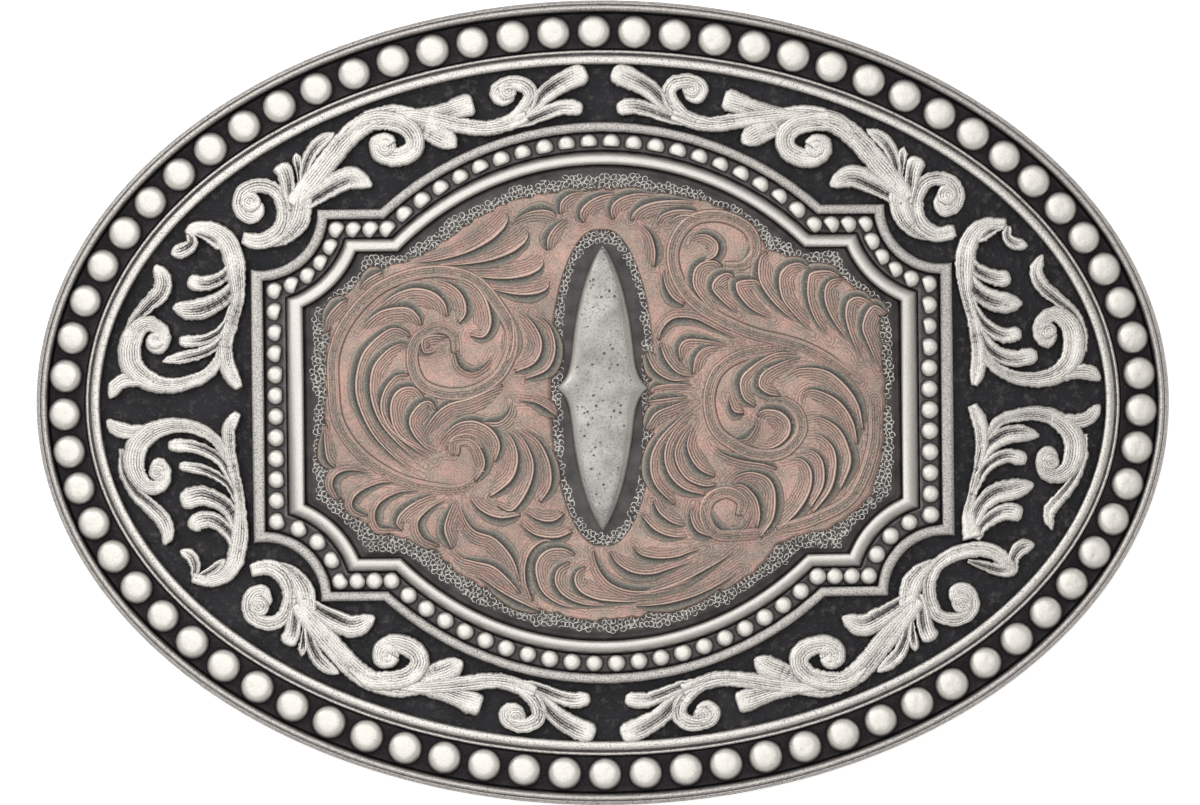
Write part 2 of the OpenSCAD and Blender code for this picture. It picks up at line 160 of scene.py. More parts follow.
lens = bpy.data.cameras.new("camera")
lens.lens = LENS
lens.dof.use_dof = False
lens.clip_start, lens.clip_end = 0.1, 10
camera = placed("camera", lens)
camera.location = (*VIEW_CENTRE, FACE_LEVEL + FRAMED_WIDTH / lens.sensor_width * LENS)
bpy.context.scene.camera = camera

# Base plate. A die-cast zinc oval, about two millimetres thick, bowed along its length to sit on the waist.
# Its face is blackened and fine-grained between the raised work, with painted glints on the grain; its back
# and edge are plain silver plate.
# Sizes below are in millimetres. Geometry Nodes and bumps take metres.
HALF_W, HALF_H = 47.3, 33.5
CROWN_R = 235.0
GROUND = 12.9


def bow_drop(x, radius):
    """Drop of the bowed plate at a distance x from its middle, in nodes."""
    return maths("SQRT", radius * radius - x * x) - radius


def vector(operation, *values, **scale):
    """The result of a Vector Math node."""
    sockets = {**dict(enumerate(values)), **scale}
    return add(values[0].tree, "ShaderNodeVectorMath", sockets, operation=operation)


def split(place):
    """X, Y and Z of a vector."""
    return outputs(place.tree, "ShaderNodeSeparateXYZ", {0: place}).values()


def object_place(tree):
    """Object coordinates."""
    return outputs(tree, "ShaderNodeTexCoord")["Object"]


def noise(place, scale, detail=2.0, roughness=0.5):
    """A noise over this place, so many waves to the metre."""
    return add(place.tree, "ShaderNodeTexNoise", {"Vector": place, "Scale": scale, "Detail": detail,
                                                  "Roughness": roughness})


def stretched(value, low, high, to_low=0.0, to_high=1.0):
    """A value's smooth step from low to high."""
    return add(value.tree, "ShaderNodeMapRange", dict(enumerate((value, low, high, to_low, to_high))),
               interpolation_type="SMOOTHSTEP")


def mixed(share, *tones):
    """The first tone turning into the second."""
    a, b = [tone if isinstance(tone, Wire) else (*tone, 1) for tone in tones]
    return add(share.tree, "ShaderNodeMix", {"Factor": share, "A": a, "B": b}, data_type="RGBA")


def shade(value, *stops):
    """Colours along a value."""
    colour = add(value.tree, "ShaderNodeValToRGB", {"Fac": value})
    spots = colour.socket.node.color_ramp.elements
    while len(spots) < len(stops):
        spots.new(0.5)
    for spot, (at, tone) in zip(spots, stops):
        spot.position = at
        spot.color = (*tone, 1)
    return colour


def bump(height, strength, depth, **under):
    """A normal bent by a height, over another bent normal if one is given."""
    sockets = {"Height": height, "Strength": strength, "Distance": depth, **under}
    return add(height.tree, "ShaderNodeBump", sockets)


def new_group(name, inputs, results, kind="ShaderNodeTree"):
    """A node group, the outputs of its input node and its output node.
    Each socket is given by a number, its default value, or by the name of its kind."""
    group = bpy.data.node_groups.new(name, kind)
    for side, labels in (("INPUT", inputs), ("OUTPUT", results)):
        for label, value in labels.items():
            named = value if isinstance(value, str) else type(value).__name__.capitalize()
            socket = group.interface.new_socket(label, in_out=side, socket_type="NodeSocket" + named)
            if not isinstance(value, str):
                socket.default_value = value
    given = group.nodes.new("NodeGroupInput").outputs
    return group, {s.name: Wire(s) for s in given if s.name}, group.nodes.new("NodeGroupOutput")


# Height of a point above the blackened ground, in millimetres, with the bow taken out.
relief, given, out = new_group("height_above_ground", {"Bow radius": CROWN_R, "Ground level": GROUND},
                               {"Height": "Float", "Place": "Vector"})
place = object_place(relief)
x, _, z = split(place)
height = z * 1000.0 - given["Ground level"] - bow_drop(x * 1000.0, given["Bow radius"])
plug(out, {"Height": height, "Place": place})

ground_finish, tree, shader = new_finish("blackened_ground")
height, place = outputs(tree, "ShaderNodeGroup", node_tree=relief).values()
across = vector("MULTIPLY", place, (1000 / HALF_W, 1000 / HALF_H, 0.0))
edge = stretched(vector("LENGTH", across), 0.984, 0.99)
bare = maths("MAXIMUM", stretched(height, -0.5, -0.25, 1.0, 0.0), edge)
sand = noise(place, 4200.0, 3.0, 0.65)
blot = noise(place, 1300.0, 4.0, 0.7)
cloud = noise(place, 260.0, 3.0)
black = shade(cloud, (0.3, (0.010, 0.0095, 0.0125)), (0.7, (0.024, 0.022, 0.027)))
black = mixed(stretched(blot, 0.5, 0.7), black, (0.075, 0.068, 0.070))
# Pale specks of the sand noise are painted glints on the blackened ground.
black = mixed(stretched(sand, 0.6, 0.76) * 0.5, black, (0.16, 0.155, 0.16))
plain = shade(cloud, (0.25, (0.40, 0.39, 0.37)), (0.75, (0.62, 0.61, 0.58)))
plug(shader, {"Base Color": mixed(bare, black, plain), "Roughness": stretched(bare, 0.0, 1.0, 0.55, 0.4),
              "Metallic": stretched(bare, 0.0, 1.0, 0.35, 0.95),
              "Normal": bump(blot, 0.8, 0.00025, Normal=bump(sand, 0.5, 0.00005))})


def dress(node, finish):
    """A CAD node that stays as it is, with this finish."""
    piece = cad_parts[node]
    piece.data.materials.clear()
    piece.data.materials.append(finish)


dress("base_plate", ground_finish)

# Rim and double moulding. Two cast bands follow the oval: a rounded outer rim, rubbed bright on its crest,
# and inside the bead row a thin wire beside a broad band, both with a slightly pitted skin.
RIM = [(0, -0.06), (0, 0.85), (0.04, 1.02), (0.12, 1.14), (0.22, 1.21), (0.3, 1.22), (0.34, 1.14),
       (0.38, 1.14), (0.42, 1.23), (0.54, 1.3), (0.7, 1.29), (0.82, 1.15), (0.92, 0.88), (1, 0.55),
       (1, -0.06)]
MOULDING = [(4.1, -0.06), (4.1, 0.5), (4.13, 0.7), (4.2, 0.8), (4.32, 0.8), (4.4, 0.72), (4.45, 0.62),
            (4.5, 0.62), (4.55, 0.74), (4.62, 0.86), (4.72, 0.93), (4.9, 0.95), (5.1, 0.95), (5.24, 0.9),
            (5.32, 0.75), (5.35, 0.5), (5.35, -0.06)]
OVAL_STEPS = 720
# Height at which all raised work begins, just over the blackened ground.
SEAT = 12.96
# Darkest tone: tarnish in the hollows, and painted shade where other metal stands close.
TARNISH_AND_SHADE = (0.014, 0.0125, 0.0155)
PEWTER = (0.18, 0.165, 0.165)
PALE = (0.57, 0.535, 0.51)
SILVER = (0.90, 0.875, 0.82)
# How much lower a fine line counts for the tarnish, and how much darker a stroke's painted shade makes it,
# in its valley and along one side.
LINE_DEPTH = 0.27
STROKE_SHADE_DEPTH = 0.42
AO_SAMPLES = 6


def attribute(tree, label):
    """A value that the mesh carries."""
    return outputs(tree, "ShaderNodeAttribute", attribute_name=label)["Fac"]


def open_sky(tree, distance):
    """How little stands round a point within this distance."""
    return outputs(tree, "ShaderNodeAmbientOcclusion", {"Distance": distance}, samples=AO_SAMPLES)["AO"]


def sawtooth(value):
    """Lines at whole numbers of a value: 0 on a line, 0.5 between two."""
    return maths("PINGPONG", value, 0.5)


# Antique finish: tarnish stays in the hollows and the tops are rubbed bright, with a grainy edge between.
antique, given, out = new_group("antique_finish", {
    "Height": 0.5, "Place": "Vector", "Dark below": 0.2, "Bright above": 0.8, "Grain": 0.3,
    "Grain size": 0.16, "Patches": 0.1, "Pits": 0.3}, {"Shine": "Float", "Grain": "Float"})
place = given["Place"]
per_mm = 1000.0 / given["Grain size"]
grain = noise(place, per_mm, 3.0, 0.6)
lifted = given["Height"] + (grain - 0.5) * given["Grain"] + (noise(place, 520.0) - 0.5) * given["Patches"]
shine = stretched(lifted, given["Dark below"], given["Bright above"])
pitted = stretched(noise(place, per_mm * 1.15, 2.0, 0.7), 0.53, 0.68) * given["Pits"]
plug(out, {"Shine": shine * (1.0 - pitted), "Grain": grain})


def antique_silver(name, dark_below, bright_above, grain, grain_size, bumps, patches=0.1, rough=0.36,
                   pits=0.3, metal=0.85, shade_floor=0.1, lines=False):
    """Silver plate, blackened and rubbed back, with painted shade where other metal stands close. Lines
    reads the engraving and the painted shade that a stroke's mesh carries.
    """
    finish, tree, shader = new_finish(name)
    level, place = outputs(tree, "ShaderNodeGroup", node_tree=relief).values()
    if lines:
        along, across, cut, hatch, stroke_shade = [
            attribute(tree, label) for label in ("along", "across", "cut", "hatch", "stroke_shade")]
        shift = (noise(place, 1600.0) - 0.5) * 0.5
        groove = stretched(sawtooth(across + shift), 0.04, 0.22, 1.0, 0.0) * cut
        cross = stretched(sawtooth(along * 1.9 + shift), 0.05, 0.28, 1.0, 0.0) * hatch
        groove = maths("MAXIMUM", groove, cross) * stretched(noise(place, 650.0, 4.0), 0.36, 0.58, 0.25, 1.0)
        level = level - groove * LINE_DEPTH - stroke_shade * STROKE_SHADE_DEPTH
    aged = outputs(tree, "ShaderNodeGroup", {
        "Height": level, "Place": place, "Dark below": dark_below, "Bright above": bright_above,
        "Grain": grain, "Grain size": grain_size, "Patches": patches, "Pits": pits}, node_tree=antique)
    # Where other metal stands close the colour is darkened: painted shade, besides the tarnish in the
    # creases.
    shine = aged["Shine"] * stretched(open_sky(tree, 0.0011), 0.3, 0.92, shade_floor, 1.0)
    skin = bump(aged["Grain"], bumps, 0.00004)
    if lines:
        skin = bump(1.0 - groove, 0.55, 0.00006, Normal=skin)
    plug(shader, {"Base Color": shade(shine, (0.0, TARNISH_AND_SHADE), (0.3, PEWTER), (0.62, PALE), (1.0, SILVER)),
                  "Roughness": stretched(shine, 0.0, 1.0, 0.62, rough), "Metallic": metal, "Normal": skin})
    return finish


def grow_tree(name, values):
    """A Geometry Nodes group with these inputs between its geometry and its seed and finish."""
    return new_group(name, {"Geometry": "Geometry", **values, "Seed": 0.0, "Finish": "Material"},
                     {"Geometry": "Geometry"}, "GeometryNodeTree")


def then(geometry, kind, sockets=(), **settings):
    """A geometry after one more node."""
    return add(geometry.tree, kind, {0: geometry, **dict(sockets)}, **settings)


def position(tree):
    """Where each point is."""
    return add(tree, "GeometryNodeInputPosition")


def bow(geometry, radius):
    """Lowers a geometry onto the bowed plate."""
    x, _, _ = split(position(geometry.tree))
    lift = add(geometry.tree, "ShaderNodeCombineXYZ", {"Z": bow_drop(x, radius)})
    return then(geometry, "GeometryNodeSetPosition", {"Offset": lift})


def worn(geometry, given):
    """Pushes a surface in and out by a noise, as casting and wear do."""
    place = vector("SCALE", position(geometry.tree), Scale=1.0 / given["Wear size"])
    wave = add(geometry.tree, "ShaderNodeTexNoise", {"Vector": place, "W": given["Seed"], "Scale": 1.0},
               noise_dimensions="4D")
    facing = add(geometry.tree, "GeometryNodeInputNormal")
    push = vector("SCALE", facing, Scale=(wave - 0.5) * given["Wear depth"])
    return then(geometry, "GeometryNodeSetPosition", {"Offset": push})


def end_tree(geometry, given, out):
    """Realize Instances, smooth shading and Set Material."""
    real = then(geometry, "GeometryNodeRealizeInstances")
    soft = then(real, "GeometryNodeSetShadeSmooth")
    plug(out, {"Geometry": then(soft, "GeometryNodeSetMaterial", {"Material": given["Finish"]})})


band_tree, given, out = grow_tree("oval_band", {
    "Half length": 0.047, "Half height": 0.033, "Bow radius": 0.235, "Wear depth": 0.0, "Wear size": 0.0005,
    "Steps": OVAL_STEPS})
circle = add(band_tree, "GeometryNodeCurvePrimitiveCircle", {"Resolution": given["Steps"], "Radius": 1.0})
size = add(band_tree, "ShaderNodeCombineXYZ", {
    "X": given["Half length"], "Y": given["Half height"], "Z": 1.0})
sized = vector("MULTIPLY", position(band_tree), size)
oval_line = then(circle, "GeometryNodeSetPosition", {"Position": sized})
section = then(given["Geometry"], "GeometryNodeMeshToCurve")
band = then(oval_line, "GeometryNodeCurveToMesh", {"Profile Curve": section})
end_tree(worn(bow(band, given["Bow radius"]), given), given, out)


def meshed(name, points, edges=(), faces=(), facts=None):
    """A mesh from points in millimetres, with numbers or vectors that each point carries."""
    mesh = bpy.data.meshes.new(name)
    mesh.from_pydata((np.array(points) * 0.001).tolist(), edges, faces)
    for label, rows in (facts or {}).items():
        rows = np.array(rows, dtype=float)
        kind, field = ("FLOAT", "value") if rows.ndim == 1 else ("FLOAT_VECTOR", "vector")
        mesh.attributes.new(label, kind, "POINT").data.foreach_set(field, rows.ravel())
    return mesh


def facing_out(mesh):
    """Turns a closed mesh's faces outwards."""
    work = bmesh.new()
    work.from_mesh(mesh)
    bmesh.ops.recalc_face_normals(work, faces=work.faces)
    work.to_mesh(mesh)
    work.free()


def grown(seeds, tree, values):
    """What a Geometry Nodes tree makes of a seed piece, as a plain mesh."""
    grower = seeds.modifiers.new("grow", "NODES")
    grower.node_group = tree
    sockets = {s.name: s.identifier for s in tree.interface.items_tree if s.in_out == "INPUT"}
    for label, value in values.items():
        grower[sockets[label]] = value
    plain = bpy.data.meshes.new_from_object(seeds.evaluated_get(bpy.context.evaluated_depsgraph_get()))
    seeds.modifiers.clear()
    seeds.data = plain
    facing_out(plain)
    return seeds


def fit(piece, slot, *nodes):
    """The piece rides on the buckle and stands for these nodes. The slot is not used."""
    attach(piece, "root")
    if nodes:
        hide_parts(*nodes)


def oval_piece(name, section, finish, wear, wear_size, seed):
    """A band along the oval. Its section is inset from the outline and height above the seat."""
    ring = [(i, (i + 1) % len(section)) for i in range(len(section))]
    seeds = placed(name, meshed(name, [(-inset, -high - SEAT, 0) for inset, high in section], ring))
    return grown(seeds, band_tree, {
        "Half length": HALF_W * 0.001, "Half height": HALF_H * 0.001, "Bow radius": CROWN_R * 0.001,
        "Wear depth": wear * 0.001, "Wear size": wear_size * 0.001, "Seed": seed, "Steps": OVAL_STEPS,
        "Finish": finish})


band_silver = antique_silver("band_silver", 0.02, 1.2, grain=0.75, grain_size=0.14, bumps=0.9, pits=0.6)
rim_silver = antique_silver("rim_silver", 0.3, 1.9, grain=0.9, grain_size=0.15, bumps=0.9, pits=0.5)
fit(oval_piece("rim", RIM, rim_silver, 0.05, 0.45, 1.0), "antique_silver", "edge_rim")
fit(oval_piece("moulding", MOULDING, band_silver, 0.09, 0.3, 2.0), "antique_silver", "inner_moulding")

# Edge beads. Seventy-three cast domes stand in a sunk channel between rim and moulding.
# Each is rubbed bright on top, slightly nibbled round its foot, and the channel stays black.
BEAD_ROW = 73
BEAD_INSET = 2.4
BEAD_DRIFT = 0.17
FIRST_BEAD = 0.19
UPPER_GAIN = 1.2
CHANNEL = [(1.06, -0.06), (1.06, 0.34), (1.2, 0.3), (1.6, 0.22), (2.4, 0.2), (3.3, 0.22), (3.9, 0.3),
           (4.04, 0.34), (4.04, -0.06)]


def oval(angle, inset):
    """Point of the oval outline at an angle, moved inwards."""
    across = np.array([HALF_H * math.cos(angle), HALF_W * math.sin(angle)])
    edge = np.array([HALF_W * math.cos(angle), HALF_H * math.sin(angle)])
    return edge - inset * across / np.linalg.norm(across)


def crown(x):
    """The same drop in numbers."""
    return np.sqrt(CROWN_R * CROWN_R - np.square(x)) - CROWN_R


def lengths(line):
    """The distance along a line at each of its points."""
    return np.concatenate([[0], np.cumsum(np.linalg.norm(np.diff(line, axis=0), axis=1))])


def bead_places():
    """Centres of the edge beads. They are even along the outline but for a slight gain on its upper half."""
    turns = np.linspace(0, 2 * math.pi, 2 * OVAL_STEPS + 1)
    run = lengths(np.array([oval(a, 0) for a in turns]))
    places = []
    for i in range(BEAD_ROW):
        even = (i - FIRST_BEAD) / BEAD_ROW
        gain = UPPER_GAIN * math.sin(2 * math.pi * even) if 0 < even < 0.5 else 0
        angle = np.interp(run[-1] * (even % 1) - gain, run, turns)
        places.append(oval(angle, BEAD_INSET + BEAD_DRIFT * abs(math.sin(angle))))
    return places


def drawn(tree, low, high, seed, kind="FLOAT_VECTOR"):
    """A random value for each instance."""
    return add(tree, "FunctionNodeRandomValue", {"Min": low, "Max": high, "Seed": seed}, data_type=kind)


bead_tree, given, out = grow_tree("bead_row", {
    "Diameter": 0.0025, "Height": 0.00125, "Foot": 0.0, "Sides": 24, "Size spread": 0.03,
    "Bow radius": 0.235, "Wear depth": 0.0, "Wear size": 0.0005})
radius = given["Diameter"] * 0.5
sphere = add(bead_tree, "GeometryNodeMeshUVSphere", {
    "Segments": given["Sides"], "Rings": given["Sides"] / 2.0, "Radius": radius})
x, y, z = split(position(bead_tree))
domed = maths("SINE", z / radius * (math.pi / 2))
domed = maths("SIGN", domed) * maths("POWER", maths("ABSOLUTE", domed), 0.75)
high = maths("MAXIMUM", domed * given["Height"], given["Foot"])
flat = add(bead_tree, "ShaderNodeCombineXYZ", {"X": x, "Y": y, "Z": high})
dome = then(sphere, "GeometryNodeSetPosition", {"Position": flat})
x, _, _ = split(position(bead_tree))
lean = add(bead_tree, "ShaderNodeCombineXYZ", {"Y": maths("ARCSINE", x / given["Bow radius"])})
spread = drawn(bead_tree, 1.0 - given["Size spread"], given["Size spread"] + 1.0, 7, "FLOAT")
row = then(given["Geometry"], "GeometryNodeInstanceOnPoints", {
    "Instance": dome, "Rotation": lean, "Scale": spread})
real = then(row, "GeometryNodeRealizeInstances")
centre, inward, limit = [
    add(bead_tree, "GeometryNodeInputNamedAttribute", {"Name": label}, data_type=kind)
    for label, kind in (("centre", "FLOAT_VECTOR"), ("inward", "FLOAT_VECTOR"), ("cut_at", "FLOAT"))]
off = vector("SUBTRACT", position(bead_tree), centre)
past = maths("MAXIMUM", vector("DOT_PRODUCT", off, inward) - limit, 0.0)
trimmed = then(real, "GeometryNodeSetPosition", {"Offset": vector("SCALE", inward, Scale=past * -1.0)})
end_tree(worn(trimmed, given), given, out)


def joined(name, *pieces):
    """Meshes of several pieces in one, under a new name."""
    work = bmesh.new()
    finishes = []
    for piece in pieces:
        start = len(work.faces)
        work.from_mesh(piece.data)
        work.faces.ensure_lookup_table()
        for face in work.faces[start:]:
            face.material_index = len(finishes)
        finishes.append([m for m in piece.data.materials if m][0])
    mesh = bpy.data.meshes.new(name)
    work.to_mesh(mesh)
    work.free()
    for finish in finishes:
        mesh.materials.append(finish)
    for piece in pieces:
        bpy.data.objects.remove(piece)
    return placed(name, mesh)


def bead_piece(name, places, finish, cut_dirs, cut_at, **sizes):
    """Beads on these places of the plate. A bead is cut flat past cut_at in its cut direction."""
    points = np.array([(x, y, SEAT + crown(x)) for x, y in places])
    facts = {"centre": points * 0.001, "inward": cut_dirs, "cut_at": cut_at}
    values = {label.replace("_", " ").capitalize(): value for label, value in sizes.items()}
    return grown(placed(name, meshed(name, points, facts=facts)), bead_tree, {
        "Bow radius": CROWN_R * 0.001, "Finish": finish, **values})


bead_silver = antique_silver("bead_silver", 0.1, 1.0, grain=0.85, grain_size=0.12, bumps=0.45, patches=0.2,
                             pits=0.2, metal=0.6, shade_floor=0.45)
channel_black = antique_silver("channel_black", 0.08, 1.7, grain=0.4, grain_size=0.2, bumps=0.6)
edge_domes = bead_piece(
    "edge_domes", bead_places(), bead_silver, [(0, 0, 1)] * BEAD_ROW, [1.0] * BEAD_ROW, diameter=0.00285,
    height=0.00112, foot=0.0001, sides=28, size_spread=0.02, wear_depth=0.0001, wear_size=0.00045, seed=3.0)
channel = oval_piece("channel", CHANNEL, channel_black, 0.12, 0.5, 4.0)
fit(joined("edge_beading", channel, edge_domes), "antique_silver", "edge_beads")

# Scrollwork. Eight cast acanthus scrolls stand on the black ground: flat-topped stems, rolled leaf lobes
# and tight curls, all cut with fine lines along their run and cross-hatched where lobes part from a stem.
# Every stroke: path, width, spread of the width, hatch, hollow place or None.
STEM = ((0, 0.5), (0.15, 0.95), (0.92, 1), (1, 0.9))
COIL = ((0, 0.2), (0.12, 0.85), (0.2, 1), (0.66, 1), (0.85, 0.85), (1, 0.7))
LOBE = ((0, 0.5), (0.25, 0.78), (0.6, 1), (0.8, 0.95), (0.93, 0.6), (1, 0.18))
BLUNT = ((0, 0.5), (0.3, 0.8), (0.7, 0.98), (0.88, 1.06), (0.96, 0.92), (1, 0.5))
TAIL = ((0, 0.75), (0.4, 1), (0.8, 0.9), (1, 0.3))
FLARE = ((0, 0.5), (0.3, 0.7), (0.6, 0.8), (0.85, 1), (0.95, 1), (1, 0.75))
CURL = ((0, 0.8), (0.06, 1), (0.2, 1.12), (0.35, 0.95), (0.8, 0.95), (1, 0.6))
BELLY = ((0, 0.15), (0.25, 0.6), (0.55, 1), (1, 0.9))
SPINE = ((0, 0.4), (0.05, 0.7), (0.12, 0.76), (0.25, 0.7), (0.38, 0.62), (0.5, 0.68), (0.63, 1),
         (0.73, 0.96), (0.82, 0.86), (0.9, 0.72), (1, 0.55))
SPINE_LOW = ((0, 0.45), (0.1, 0.7), (0.3, 0.62), (0.5, 0.42), (0.7, 0.42), (0.85, 0.7), (1, 1))
BOAT = ((0, 0.25), (0.1, 0.5), (0.21, 0.58), (0.33, 0.68), (0.43, 0.85), (0.53, 1), (0.61, 1), (0.69, 0.85),
        (0.75, 0.7), (0.87, 0.6), (1, 0.4))
OUTER_TAIL = ((0, 0.3), (0.2, 0.6), (0.4, 0.75), (0.6, 0.95), (0.8, 1), (0.93, 0.75), (1, 0.2))
LEAF = ((0, 0.4), (0.35, 0.6), (0.6, 0.85), (0.75, 1), (0.9, 0.75), (1, 0.15))
EYE = ((0, 0.3), (0.1, 0.6), (0.3, 0.92), (0.5, 1), (0.7, 0.92), (0.9, 0.6), (1, 0.3))


def eye(x, y, size):
    """The round boss in the middle of a curl."""
    return [(x - size * 0.46, y - 0.1), (x, y), (x + size * 0.46, y + 0.1)], size, EYE, 0, None


CURL_TURN = [(27.3, 18.1), (28.6, 18.4), (29.75, 17.9), (30.1, 16.9), (29.7, 16), (28.9, 15.75),
             (28.5, 16.35), (28.8, 17), (29.2, 17)]
VINE = [
    eye(7.7, 26, 1.75), eye(17.85, 21.5, 1.9), eye(29.2, 17, 1.9),
    ([(6.6, 23.8), (5.3, 24.9), (4.2, 26), (2.8, 26.85), (1.05, 27.6)], 1.85, BLUNT, 0, -0.15),
    ([(8, 23.1), (6.1, 23.55), (4.3, 24.25), (2.9, 24.65), (1.4, 24.45)], 1.35, BLUNT, 0, 0.1),
    ([(11.5, 23), (9.2, 22.95), (7.4, 23.5), (6.2, 24.6), (5.75, 25.65), (6.2, 26.45), (7.3, 26.7),
      (8.35, 26.35), (8.6, 25.7), (8.1, 25.25), (7.5, 25.55), (7.6, 26.05)], 1.35, COIL, 0, None),
    ([(15.8, 24.1), (13.6, 24.25), (12, 24.65), (10.5, 25.05)], 1.95, FLARE, 0.4, None),
    ([(15.8, 23.9), (14.4, 22.95), (13.1, 22.3), (11.95, 21.4)], 2, LOBE, 1, None),
    ([(6, 23.9), (7.8, 23.2), (9.6, 22.95), (11.6, 23.2), (13.6, 23.7), (15.6, 24.1), (17.2, 24.3)], 1.4,
      TAIL, 0.5, None),
    ([(21.2, 22.4), (19.6, 23.5), (17.9, 23.75), (16.3, 23.3), (15.45, 22.3), (15.55, 21.3), (16.4, 20.75),
      (17.5, 20.65), (18.45, 21.1), (18.5, 21.9), (17.8, 22.1), (17.4, 21.65)], 1.7, COIL, 0, None),
    ([(15, 24.1), (16.5, 24.2), (18.2, 24), (19.7, 23.35), (21.1, 22.2), (22.3, 20.8), (23.5, 19.3),
      (24.8, 17.7), (25.6, 16.6)], 1.9, STEM, 0.45, None),
    ([(24.9, 18.2), (24.5, 20.2), (23.6, 21.7), (22.1, 22.75)], 1.25, LOBE, 0, 0.1),
    ([(25.05, 18.3), (25.15, 19.8), (25.35, 21.1)], 0.9, LEAF, 0, 0),
    ([(25.7, 16.3), (26, 17.8), (26.2, 19.1), (26.7, 20.2)], 1.5, BLUNT, 0.6, 0.2),
    ([(25.4, 16.3), (24, 17.3), (22.4, 18.3), (20.8, 18.95), (19, 18.3)], 1.95, LOBE, 0.2, 0.25),
    ([(27.8, 13.3), (26.4, 14), (25.3, 15.2), (24.9, 16.6), (24.8, 18)], 1.9, BELLY, 0.4, None),
    ([(29.9, 14.05), (28.4, 13.75), (27, 14.4), (26.45, 15.6), (26.55, 17), *CURL_TURN], 1.35, CURL, 0.2,
      None)
]
VINE_END_LOW_RIGHT = [
    ([(33.5, 14.4), (32.6, 13.3), (31.4, 12.65), (30, 12.6), (28.6, 12.95), (27.3, 13.8), (26.6, 15),
      (26.5, 16.2), (26.75, 17.2), *CURL_TURN], 1.25, CURL, 0, None),
    ([(29.7, 13.5), (31.2, 13.95), (32.5, 14.3), (33.9, 14.3)], 1.2, OUTER_TAIL, 0, 0.1),
    ([(33.6, 14.5), (33.5, 13.4), (34.1, 12.5), (35.3, 12.15)], 1.3, LOBE, 0, 0.1)
]
